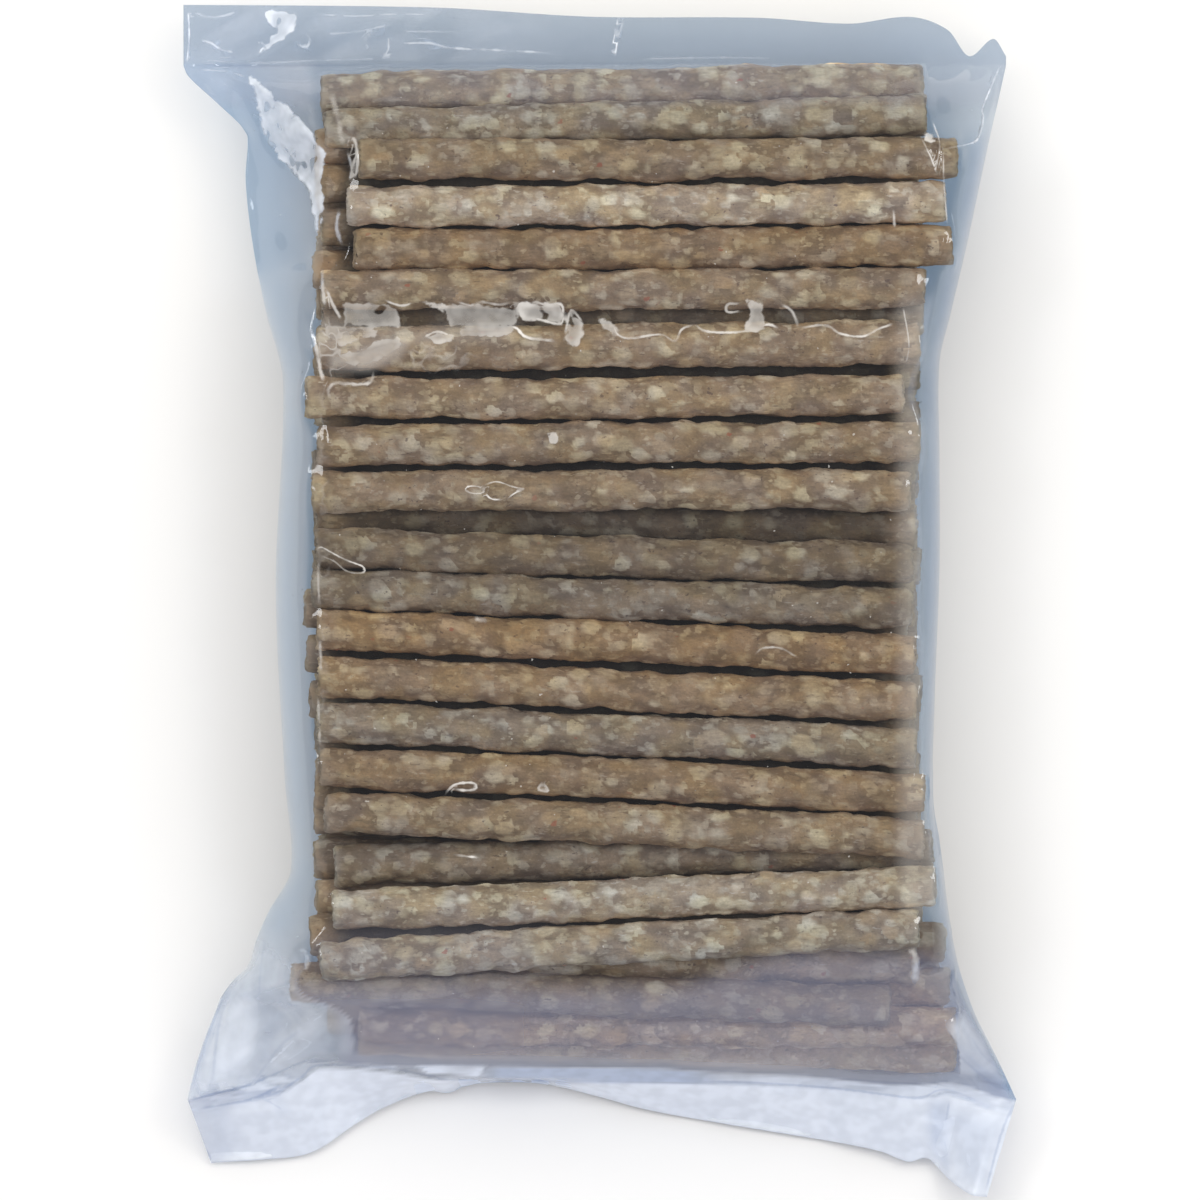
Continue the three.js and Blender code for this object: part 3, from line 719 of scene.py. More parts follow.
def relief_tree():
    """Geometry nodes that move a stick's surface out at its chips and in at its pits, and keep both."""
    tree = bpy.data.node_groups.new("chip_relief", "GeometryNodeTree")
    for direction in ("INPUT", "OUTPUT"):
        tree.interface.new_socket("Geometry", in_out=direction, socket_type="NodeSocketGeometry")
    g = Graph(tree)
    place = g.node("GeometryNodeInputNamedAttribute", {"Name": "place"}, data_type="FLOAT_VECTOR").outputs[0]
    warp = g.vector("SUBTRACT", g.noise(place, 0.55, output="Color"), (0.5, 0.5, 0.5))
    bent = g.vector("ADD", place, g.scaled(warp, 1.9))
    large = chip_layer(g, bent, 0.0, 0.76, 0.30, 0.66)
    middle = chip_layer(g, bent, 31.0, 0.8, 0.48, 0.60)
    where = g.smooth(g.noise(place, 0.16, 1.0), 0.42, 0.6)
    patch = g.noise(g.vector("MULTIPLY", place, (0.55, 1.0, 1.0)), 0.24)
    hue = g.noise(g.vector("ADD", place, (53.0, 53.0, 53.0)), 0.13)

    height = g.math("MULTIPLY", g.math("SUBTRACT", g.noise(place, 0.16), 0.5), LUMP_HEIGHT)
    relief = (
        (g.math("SUBTRACT", g.noise(place, 0.9), 0.5), GRIT_HEIGHT),
        (in_chip(g, large["away"]), LARGE_CHIP_HEIGHT),
        (in_chip(g, middle["away"]), MIDDLE_CHIP_HEIGHT),
        (large["seam"], -SEAM_DEPTH),
        (pits(g, place, where), -PIT_DEPTH),
    )
    for form, its_height in relief:
        height = g.math("MULTIPLY_ADD", form, its_height, height)
    offset = g.scaled(g.node("GeometryNodeInputNormal").outputs[0], g.math("MULTIPLY", height, MM))
    source = g.node("NodeGroupInput").outputs[0]
    shape = g.node("GeometryNodeSetPosition", {"Geometry": source, "Offset": offset}).outputs[0]
    kept = {
        "large": (large["away"], large["pale"], large["tint"]),
        "middle": (middle["away"], middle["pale"], large["seam"]),
        "ground": (patch, hue, where),
    }
    for name, parts in kept.items():
        value = g.node("ShaderNodeCombineXYZ", dict(enumerate(parts))).outputs[0]
        inputs = {"Geometry": shape, "Name": name, "Value": value}
        shape = g.node("GeometryNodeStoreNamedAttribute", inputs, data_type="FLOAT_VECTOR").outputs[0]
    g.node("NodeGroupOutput", {0: shape})
    return tree


RELIEF = relief_tree()


def raise_relief(piece):
    modifier = piece.modifiers.new("relief", "NODES")
    modifier.node_group = RELIEF
    depsgraph = bpy.context.evaluated_depsgraph_get()
    raised = bpy.data.meshes.new_from_object(piece.evaluated_get(depsgraph))
    piece.modifiers.clear()
    piece.data = raised


def points_of(piece):
    """A mesh's points in millimetres."""
    flat = np.empty(len(piece.data.vertices) * 3)
    piece.data.vertices.foreach_get("co", flat)
    return flat.reshape(-1, 3) / MM


# ---- The bag's form ----


def seal_y(u):
    return BOTTOM_SEAL_Y - EAR_SAG * np.abs(u) ** 5


def shoulder_at(side, y):
    """Where the film starts down at the left (side -1) or right (side 1) ends of the sticks about y."""
    x, middle, rise = np.array(TOP_STICKS)[:, :3].T
    away = (y[..., None] - middle - side * rise / 2) / END_REACH
    weight = np.exp(-away * away)
    ends = x + side * STICK_LENGTH / 2
    return (weight * ends).sum(-1) / weight.sum(-1) + side * END_SLACK


def edge_height(y):
    toward_top = np.clip((y - BOTTOM_SEAL_Y) / (TOP_SEAL_Y - BOTTOM_SEAL_Y), 0, 1)
    seal_height = lerp(BOTTOM_SEAL_HEIGHT, TOP_SEAL_HEIGHT, toward_top)
    return seal_height + (EDGE_HEIGHT - seal_height) * np.sin(np.pi * toward_top)


class BodyForm:
    """The film over a grid of u, from -1 to 1 across the bag, and v, from its bottom to its top seal."""

    def __init__(self, u, v):
        self.y = lerp(seal_y(u), TOP_SEAL_Y, v)
        left, right = through(LEFT_EDGE, self.y), through(RIGHT_EDGE, self.y)
        self.x = lerp(left, right, (u + 1) / 2)
        on_left = self.x < 0
        shoulder = np.where(on_left, shoulder_at(-1, self.y), shoulder_at(1, self.y))
        edge = np.where(on_left, left, right)
        self.outward = np.clip((self.x - shoulder) / (edge - shoulder), 0, 1)
        self.wide = smoothstep(np.abs(edge - shoulder), NARROW["margin"], WIDE["margin"])
        inner = lerp(NARROW["inner"], WIDE["inner"], self.wide)
        outer = lerp(NARROW["outer"], WIDE["outer"], self.wide)
        self.share = (1 - self.outward**inner) ** outer

    def height(self, side):
        middle = edge_height(self.y)
        profile = np.maximum(through(UPPER_FILM if side > 0 else LOWER_FILM, self.y), 0)
        height = middle + (profile - middle) * self.share
        if side > 0:
            return np.maximum(height, middle + FILM_HALF)
        return np.minimum(height, middle - FILM_HALF)


def hem_points(u, t, side):
    """Film beyond the top seal: t runs from 0 at the seal to 1 at the free edge."""
    seal = BodyForm(u, np.ones_like(u))
    y = seal.y + t * through(TOP_HEM, u)
    z = TOP_SEAL_HEIGHT + t * ripple(HEM_RIPPLE, u) + side * FILM_HALF
    return np.stack([seal.x, y, z], -1)


def flap_points(u, t, side):
    """Film beyond the bottom seal, which hangs where it doesn't reach out as far as it is long."""
    seal = BodyForm(u, np.zeros_like(u))
    reach = through(BOTTOM_FLAP, u)
    fall = np.sqrt(np.maximum(FLAP_LENGTH**2 - reach**2, 0))
    lowest = FLOOR_GAP + FILM_HALF
    hang = np.minimum(fall, BOTTOM_SEAL_HEIGHT - lowest)
    z = np.maximum(BOTTOM_SEAL_HEIGHT + t * (ripple(FLAP_RIPPLE, u) - hang), lowest) + side * FILM_HALF
    taper = np.where(seal.x < 0, FLAP_TAPER_LEFT, FLAP_TAPER_RIGHT)
    return np.stack([seal.x * lerp(1, taper, t), seal.y - t * reach, z], -1)


def film_columns():
    steps = np.arange(FLANK_COLUMNS) / FLANK_COLUMNS
    flank = lerp(1, FLANK_START, steps**COLUMN_CROWDING)
    middle = np.linspace(-FLANK_START, FLANK_START, MIDDLE_COLUMNS + 1)
    return np.concatenate([-flank, middle, flank[::-1]])


# ---- The film ----


def blurred(field, cells):
    """A field smoothed by a bell curve of that many cells, one direction after the other."""
    reach = int(3 * cells)
    weights = np.exp(-0.5 * (np.arange(-reach, reach + 1) / cells) ** 2)
    weights /= weights.sum()
    for axis in (0, 1):
        field = sum(w * np.roll(field, i - reach, axis) for i, w in enumerate(weights))
    return field


def highest_near(field, cells):
    for axis in (0, 1):
        field = np.max([np.roll(field, i, axis) for i in range(-cells, cells + 1)], axis=0)
    return field


def height_field(pieces):
    """A function that gives the height, near (x, y), of a smooth skin over the pieces."""
    shape = (int(2 * FIELD_HALF_Y / FIELD_STEP) + 1, int(2 * FIELD_HALF_X / FIELD_STEP) + 1)
    field = np.full(shape, -4.0)

    def in_field(x, y):
        return (y + FIELD_HALF_Y) / FIELD_STEP, (x + FIELD_HALF_X) / FIELD_STEP

    for piece in pieces:
        x, y, z = points_of(piece).T
        rows, columns = in_field(x, y)
        np.maximum.at(field, (rows.round().astype(int), columns.round().astype(int)), z)
    skin = np.maximum(blurred(highest_near(field, SKIN_REACH), SKIN_BLUR), highest_near(field, 1))

    def at(x, y):
        row, column = in_field(x, y)
        low_row = np.clip(np.floor(row).astype(int), 0, shape[0] - 2)
        low_column = np.clip(np.floor(column).astype(int), 0, shape[1] - 2)
        up, right = row - low_row, column - low_column
        low = lerp(skin[low_row, low_column], skin[low_row, low_column + 1], right)
        high = lerp(skin[low_row + 1, low_column], skin[low_row + 1, low_column + 1], right)
        return lerp(low, high, up)

    return at


def drape(form, height, obstacle):
    """The upper film's heights, drawn down over the sticks between the heights that hold it up."""
    hold = np.maximum(height, obstacle + FILM_GAP)
    z = hold.copy()
    fixed = (form.outward > DRAPE_REACH) & (obstacle < height)
    for _ in range(DRAPE_ROUNDS):
        inner = (z[:-2, 1:-1] + z[2:, 1:-1] + z[1:-1, :-2] + z[1:-1, 2:]) / 4 - DRAPE_LOAD
        z[1:-1, 1:-1] = np.maximum(inner, hold[1:-1, 1:-1])
        z[fixed] = height[fixed]
    return z


def smooth_line(points, steps=8):
    """A smooth curve through the points, as many short straight steps."""
    points = np.array(points, float)
    at = np.arange(len(points))
    fine = np.linspace(0, len(points) - 1, steps * (len(points) - 1) + 1)
    return np.stack([through(np.stack([at, line], -1), fine) for line in points.T], -1)


def from_line(x, y, line):
    """Each place's distance from a chain of straight steps, how far along that is, and on which side."""
    near = np.full(x.shape, 1e9)
    where, side = np.zeros(x.shape), np.ones(x.shape)
    for i, (start, end) in enumerate(zip(line[:-1], line[1:])):
        step, away_x, away_y = end - start, x - start[0], y - start[1]
        share = np.clip((away_x * step[0] + away_y * step[1]) / (step @ step), 0, 1)
        distance = np.hypot(away_x - share * step[0], away_y - share * step[1])
        closer = distance < near
        near[closer] = distance[closer]
        where[closer] = ((i + share) / (len(line) - 1))[closer]
        side[closer] = np.where(step[0] * away_y > step[1] * away_x, 1.0, -1.0)[closer]
    return near, where, side


def crease(x, y, points, height, width):
    """A ridge along a curve through the points, with a sharp crest that dies out at its ends."""
    near, where, _ = from_line(x, y, smooth_line(points))
    soft = np.sqrt(near**2 + (0.15 * width) ** 2) - 0.15 * width
    return height * np.exp(-soft / width) * np.sqrt(np.sin(np.pi * where.clip(0.001, 0.999)))


def from_outline(x, y, outline):
    """Each place's distance from an outline, less than nothing inside it."""
    outline = np.array(outline, float)
    near, _, _ = from_line(x, y, np.concatenate([outline, outline[:1]]))
    within = np.zeros(x.shape, bool)
    for a, b in zip(outline, np.roll(outline, -1, 0)):
        spans = (a[1] > y) != (b[1] > y)
        rise = b[1] - a[1] if b[1] != a[1] else 1e-9
        within ^= spans & (x < a[0] + (y - a[1]) * (b[0] - a[0]) / rise)
    return np.where(within, -near, near)


def near_box(x, y, points):
    """The flat indices of the places that lie within reach of the points."""
    low, high = np.min(points, 0) - MARK_REACH, np.max(points, 0) + MARK_REACH
    return np.flatnonzero((x > low[0]) & (x < high[0]) & (y > low[1]) & (y < high[1]))


def line_marks(x, y, lines):
    """At each place, for the nearest line: the half widths across to it, its distance and its strength."""
    across, outside, strength = np.full(x.shape, 9.0), np.full(x.shape, MARK_REACH), np.zeros(x.shape)
    for *points, half_width, depth in lines:
        line = smooth_line(points)
        spots = near_box(x, y, line)
        distance, where, side = from_line(x.flat[spots], y.flat[spots], line)
        closer = distance - half_width < outside.flat[spots]
        spots, distance, where, side = spots[closer], distance[closer], where[closer], side[closer]
        across.flat[spots] = side * distance / half_width
        outside.flat[spots] = distance - half_width
        strength.flat[spots] = depth * smoothstep(np.minimum(where, 1 - where), -0.02, 0.12)
    return np.stack([across, outside, strength], -1)


def outline_marks(x, y, outlines):
    """How far each place is outside the nearest outline, at most MARK_REACH, and that outline's strength."""
    outside, strength = np.full(x.shape, MARK_REACH), np.zeros(x.shape)
    for *outline, depth in outlines:
        spots = near_box(x, y, outline)
        distance = from_outline(x.flat[spots], y.flat[spots], outline)
        closer = distance < outside.flat[spots]
        outside.flat[spots[closer]] = distance[closer]
        strength.flat[spots[closer]] = depth
    return outside, strength


def film_piece(sticks):
    u = film_columns()
    form = BodyForm(*np.meshgrid(u, np.arange(BODY_ROWS + 1) / BODY_ROWS))
    flap_u, flap_t = np.meshgrid(u, np.arange(FLAP_ROWS, 0, -1) / FLAP_ROWS)
    hem_u, hem_t = np.meshgrid(u, np.arange(1, HEM_ROWS + 1) / HEM_ROWS)

    def everywhere(on_flap, on_body, on_hem):
        """One field over all of a sheet, from its values on the three parts of it."""
        parts = ((on_flap, flap_u), (on_body, form.x), (on_hem, hem_u))
        return np.concatenate([np.broadcast_to(part, grid.shape) for part, grid in parts])

    def sheet(side, body_height):
        flap, hem = flap_points(flap_u, flap_t, side), hem_points(hem_u, hem_t, side)
        hem[..., 2] += hem_t * 0.5 * soft_noise(hem[..., 0] * 0.16, hem[..., 1] * 0.9, 3.2, 5)
        waves = soft_noise(flap[..., 0], flap[..., 1] * 0.7, 9.0, 6) + 1
        flap[..., 2] += np.minimum(flap_t * 3, 1) * 0.8 * waves
        return np.concatenate([flap, np.stack([form.x, form.y, body_height], -1), hem])

    top = drape(form, form.height(1), height_field(sticks)(form.x, form.y))
    upper = sheet(1, top + slack_waves(form))
    lower = sheet(-1, form.height(-1))
    x, y = upper[..., 0], upper[..., 1]
    off_rim = everywhere(1, smoothstep(form.outward, 1, 0.9), 0)
    raised = sum(crease(x, y, points, height, width) for *points, height, width in FOLDS) * off_rim
    upper[..., 2] += raised
    lower[: len(flap_u), :, 2] += raised[: len(flap_u)]
    lower[..., 2] = np.minimum(lower[..., 2], upper[..., 2] - 2 * FILM_HALF)
    for film_sheet, lift in ((upper, 3 * FILM_HALF), (lower, FILM_HALF)):
        film_sheet[..., 2] = np.maximum(film_sheet[..., 2], lift)
    piece, places_below = sheet_mesh("film", upper, lower)

    outward = everywhere(0, form.outward, 0)
    corner = everywhere(0, form.wide * smoothstep(form.y, *LOW_CORNERS), 0)
    down_flap = everywhere(flap_t * FLAP_LENGTH, 0, 0)
    for name, value in film_looks(x, y, outward, corner, down_flap).items():
        above = value.reshape(x.size, -1)
        below = np.reshape([value[r, c] for r, c in places_below], (len(places_below), -1))
        add_attribute(piece, name, np.concatenate([above, below]).squeeze())
    return smooth_shaded(piece)


def slack_waves(form):
    """The waves of the film where it is loose beside the sticks' ends."""
    slack = between(form.outward, 0, 0.25, 0.9, 1) * form.wide
    long_x, long_y = form.x * 0.8 + form.y * 0.3, form.y * 0.35 - form.x * 0.2
    long = 0.9 * soft_noise(long_x, long_y, 3.6, 3)
    return slack * (long + 0.35 * soft_noise(form.x + form.y * 0.4, form.y * 0.5, 2.2, 4))


def film_looks(x, y, outward, corner, down_flap):
    """What the film's mesh keeps at each point for its material, by name."""
    beyond_seal, beyond_band = through(SEAL_TOP_LINE, x) - y, through(SEAL_LOW_LINE, x) - y
    on_band = smoothstep(beyond_seal, -0.1, 0.7) * smoothstep(beyond_band, 1, 0)
    blue_band = on_band * between(x, *BLUE_BAND)
    streaks = soft_noise(0.25 * (0.91 * x + 0.42 * y), 0.91 * y - 0.42 * x, 2.4, 21)
    # Whitened film, painted sheen and painted light, as the outlines give them.
    whitened_and_sheen = strongest_patch(x, y, WHITENED_AND_SHEEN) * (1 + 0.3 * streaks)
    whitened_and_sheen *= np.max([smoothstep(outward, 0, 0.02), smoothstep(beyond_seal, -1.5, -0.5), y > 0], axis=0)
    hem = smoothstep(y, TOP_SEAL_Y, TOP_SEAL_Y + 1.5) * smoothstep(x, 5, -35) * (0.05 + 0.11 * streaks)
    above_band = ABOVE_BAND_FROST * smoothstep(beyond_seal, -2.2, -1.5)
    right_ends = RIGHT_ENDS_FROST * smoothstep(x, 60, 64.5) * smoothstep(outward, 0.35, 0.1)
    right_ends *= between(y, *RIGHT_ENDS_Y)
    band = np.maximum(on_band * band_frost(x, y), BLUE_BAND_FROST * blue_band)
    on_flap = np.maximum(smoothstep(beyond_band, 0.2, 1.4), smoothstep(down_flap, 1.5, 4))
    flap = on_flap * lerp(*FLAP_FROST_AND_LIGHT, smoothstep(x, -84, -74)) * (1 + 0.05 * soft_noise(x, y, 9.0, 23))
    off_sticks = (outward > 0) | (y > TOP_SEAL_Y) | (beyond_seal > -2.2)
    shaded = [strongest_patch(x, y, SHADED), 0.08 * on_band, 0.5 * blue_band]
    return {
        "tint": film_tint(x, y, outward, corner, beyond_seal),
        "veil": film_veil(x, y, outward, beyond_seal),
        "painted_glint": line_marks(x, y, PAINTED_GLINTS),
        "glare": np.stack([*outline_marks(x, y, PAINTED_GLARES), off_sticks], -1),
        "dark": line_marks(x, y, DARK_LINES),
        "shade": np.max(shaded, axis=0),
        "frost_and_sheen": np.max([whitened_and_sheen, hem, above_band, band, flap, right_ends], axis=0),
        "painted_loops": np.max([glint_loops_at(x, y, *spot) for spot in GLINT_LOOP_SPOTS], axis=0),
    }


def film_tint(x, y, outward, corner, beyond_seal):
    """What the film lets through: most beyond the bottom seal and in the low corners, least at the rims;
    clearer beside the sticks' ends as painted light, shaded at the rims as painted shade.
    """
    left = x < 0
    # Painted light: the film is clearer beside the sticks' ends, where the floor lies in the stack's shadow.
    painted_light_beside_ends = np.where(left, 0.95 * (1 - outward) ** 1.3, 0.15 * (1 - outward) ** 2)
    painted_light_beside_ends = np.maximum(painted_light_beside_ends, 0.2 * smoothstep(y, *TOP_EARS) * (x > 0))
    painted_light_beside_ends *= smoothstep(outward, 0, 0.12) * (1 - corner)
    clear = smoothstep(beyond_seal, -0.5, 0.5) + 0.9 * corner * smoothstep(outward, 0.02, 0.3) + painted_light_beside_ends
    # Painted shading at the rims, where the floor around the bag is lit more.
    rim = np.where(left[..., None], LEFT_RIM_SHADING, RIGHT_RIM_SHADING)
    rim_shading_share = smoothstep(outward, 0.2, 0.8) * (1 - corner) * np.where(left, 1, 1 - smoothstep(y, *TOP_EARS))
    return lerp(FILM_TINT, CLEAR_TINT, clear.clip(0, 1)[..., None]) * lerp(1, rim, rim_shading_share[..., None])


def film_veil(x, y, outward, beyond_seal):
    """How hazy the film is: most over the lowest sticks, where it stands off them."""
    top = -77 + 7 * smoothstep(x, 12, 42)
    over_low_sticks = smoothstep(y, top, top - 7) * smoothstep(beyond_seal, 1.4, 0.2)
    right_end, left_end = smoothstep(outward, 1.0, 0.8), smoothstep(outward, 0.15, 0.05)
    over_low_sticks *= np.where(x > 0, right_end, left_end)
    low_left = smoothstep(y, -63, -72) * smoothstep(x, 8, -35) * smoothstep(outward, 0.1, 0)
    over_top_stick = smoothstep(y, 102, 105)
    return VEIL + TOP_VEIL * over_top_stick + LOW_VEIL * over_low_sticks + LOW_LEFT_VEIL * low_left


def band_frost(x, y):
    """How white the band between the two lines of the bottom seal is."""
    mottled = smoothstep(soft_noise(0.16 * x, y, 0.9, 31), -0.1, 0.5)
    return lerp(0.34 + 0.3 * mottled, 0.6 + 0.25 * mottled, smoothstep(x, 10, 45))


def strongest_patch(x, y, patches):
    """At each place, the strength of the strongest patch that lies over it. Patches have soft edges."""
    strengths = [
        strength * smoothstep(from_outline(x, y, outline), softness, -softness)
        for *outline, strength, softness in patches
    ]
    return np.max(strengths, axis=0)


def glint_loops_at(x, y, middle_x, middle_y, half_length, half_width, strength):
    reach = np.hypot((x - middle_x) / half_length, (y - middle_y) / half_width)
    return strength * smoothstep(reach, 1.25, 0.6)


def coarse_steps(count):
    """Every so many of a grid's lines, with the last one."""
    return np.unique(np.append(np.arange(0, count, UNDER_STEP), count - 1))


def sheet_mesh(name, upper, lower):
    """One closed mesh: a fine upper sheet, and a coarse lower one whose outermost faces take in its rim.

    The places in the grid of the lower sheet's points are given back with it.
    """
    rows, columns = upper.shape[:2]
    index = np.arange(rows * columns).reshape(rows, columns)
    a = index[:-1, :-1]
    faces = np.stack([a, a + 1, a + columns + 1, a + columns], -1).reshape(-1, 4).tolist()
    row_at, column_at = coarse_steps(rows), coarse_steps(columns)
    under = {}
    for r in range(rows):
        if r in (0, rows - 1):
            wanted = range(columns)
        elif r in row_at:
            wanted = column_at
        else:
            wanted = (0, columns - 1)
        for c in wanted:
            under[r, int(c)] = rows * columns + len(under)
    for r0, r1 in zip(row_at[:-1], row_at[1:]):
        for c0, c1 in zip(column_at[:-1], column_at[1:]):
            loop = [under[r0, c] for c in (range(c0, c1) if r0 == 0 else (c0,))]
            loop += [under[r, c1] for r in (range(r0, r1) if c1 == columns - 1 else (r0,))]
            loop += [under[r1, c] for c in (range(c1, c0, -1) if r1 == rows - 1 else (c1,))]
            loop += [under[r, c0] for r in (range(r1, r0, -1) if c0 == 0 else (r1,))]
            faces.append(loop[::-1])
    rim = [(0, c) for c in range(columns - 1)] + [(r, columns - 1) for r in range(rows - 1)]
    rim += [(rows - 1, c) for c in range(columns - 1, 0, -1)] + [(r, 0) for r in range(rows - 1, 0, -1)]
    for (r, c), (next_r, next_c) in zip(rim, rim[1:] + rim[:1]):
        faces.append([int(index[r, c]), under[r, c], under[next_r, next_c], int(index[next_r, next_c])])
    points = np.concatenate([upper.reshape(-1, 3), np.array([lower[place] for place in under])])
    return mesh_object(name, points, faces), list(under)


# ---- Materials ----


def new_material(name):
    material = bpy.data.materials.new(name)
    material.use_nodes = True
    material.node_tree.nodes.clear()
    return material, Graph(material.node_tree)


def rgb(red, green, blue):
    return (red, green, blue, 1.0)


# The hide's colours, and for each size of chip how much ground it hides and its dullest and brightest.
GROUND = (rgb(0.235, 0.16, 0.103), rgb(0.37, 0.248, 0.148))
SMALL_CHIP = (0.5, rgb(0.33, 0.222, 0.138), rgb(0.59, 0.46, 0.31))
MIDDLE_CHIP = (0.66, rgb(0.26, 0.173, 0.106), rgb(0.63, 0.50, 0.345))
LARGE_CHIP = (0.68, rgb(0.31, 0.21, 0.13), rgb(0.705, 0.58, 0.405))
TAN_CHIP = rgb(0.44, 0.265, 0.135)
SEAM = rgb(0.16, 0.095, 0.06)
PIT = rgb(0.09, 0.055, 0.05)
# Painted highlight: light streaks where the film glints on small bumps of the hide.
GLINT_STREAK = rgb(0.66, 0.56, 0.44)
DARK_FIBRE = rgb(0.14, 0.09, 0.065)
RED_FLECK = rgb(0.33, 0.09, 0.05)
CUT_END = rgb(0.50, 0.40, 0.28)
COOL_TO_WARM = (rgb(1.02, 1.135, 1.27), rgb(1.325, 1.135, 0.91))
OCHRE_TO_MAUVE = (rgb(1.035, 1.0, 0.91), rgb(0.98, 0.985, 1.075))


def stick_material():
    material, g = new_material("pressed_hide")
    place = g.kept("place", "Vector")
    large_away, large_pale, large_tint = g.parts(g.kept("large", "Vector"))
    middle_away, middle_pale, seam = g.parts(g.kept("middle", "Vector"))
    patch, hue, where = g.parts(g.kept("ground", "Vector"))

    fibre = g.noise(g.vector("MULTIPLY", place, (0.3, 1.0, 1.0)), 1.3, 2.0, 0.62)
    grain = g.noise(place, 1.9, 2.0, 0.6)
    bent = g.vector("ADD", place, g.math("MULTIPLY", fibre, 1.6))
    small = chip_layer(g, bent, 67.0, 0.9, 0.9, 0.45)
    small_chip = in_chip(g, small["away"])
    ragged = g.math("MULTIPLY_ADD", grain, 0.22, -0.11)
    middle_chip = in_chip(g, middle_away, ragged, SOFT_CHIP_EDGE)
    large_chip = in_chip(g, large_away, ragged, SOFT_CHIP_EDGE)
    base = g.mix_colours(g.smooth(patch, 0.36, 0.64), *GROUND)
    for (share, dull, bright), chip, pale in (
        (SMALL_CHIP, small_chip, small["pale"]),
        (MIDDLE_CHIP, middle_chip, middle_pale),
        (LARGE_CHIP, large_chip, large_pale),
    ):
        base = g.cover(base, g.mix_colours(pale, dull, bright), chip, share)
    base = g.cover(base, TAN_CHIP, large_chip, g.smooth(large_tint, 0.70, 0.95), 0.45)
    base = g.cover(base, SEAM, seam, g.smooth(fibre, 0.35, 0.6), 0.42)
    by_fibre, by_grain = g.smooth(fibre, 0.30, 0.68, 0.86, 1.10), g.smooth(grain, 0.3, 0.7, 0.91, 1.08)
    base = g.tinted(base, g.math("MULTIPLY", by_fibre, by_grain))
    base = g.cover(base, PIT, pits(g, place, where), 0.62)
    # Painted highlights: short light streaks where the film glints on the hide's bumps.
    base = g.cover(base, GLINT_STREAK, g.smooth(fibre, 0.64, 0.74, 0.0, 0.3))
    base = g.cover(base, DARK_FIBRE, g.smooth(fibre, 0.34, 0.26, 0.0, 0.5))
    base = g.cover(base, RED_FLECK, small_chip, g.smooth(small["tint"], 0.992, 0.996), 0.7)
    base = g.cover(base, CUT_END, g.kept("cut"), 0.5)
    toward_warm = g.math("MULTIPLY_ADD", g.kept("warm"), 0.5, 0.5, clamp=True)
    base = g.tinted(base, g.mix_colours(toward_warm, *COOL_TO_WARM))
    base = g.tinted(base, g.mix_colours(g.smooth(hue, 0.36, 0.64), *OCHRE_TO_MAUVE))
    base = g.tinted(base, g.math("ADD", g.kept("pale"), 1.0))

    bump = g.node("ShaderNodeBump", {"Height": grain, "Strength": 0.5, "Distance": 0.25 * MM})
    roughness = g.smooth(grain, 0.3, 0.7, 0.62, 0.85)
    inputs = {"Base Color": base, "Roughness": roughness, "Normal": bump.outputs[0]}
    shader = g.node("ShaderNodeBsdfPrincipled", {**inputs, "Specular IOR Level": 0.3})
    g.node("ShaderNodeOutputMaterial", {"Surface": shader.outputs[0]})
    return material


# The film's colours: of its haze, of what is white in it over the sticks and off them (painted glints, glare
# and sheen, and whitened film), and of deep shade.
HAZE = rgb(0.385, 0.40, 0.53)
WHITE_ON_STICKS = rgb(0.84, 0.81, 0.77)
WHITE_OFF_STICKS = rgb(0.845, 0.90, 0.995)
DEEP_SHADE = rgb(0.2, 0.3, 0.5)


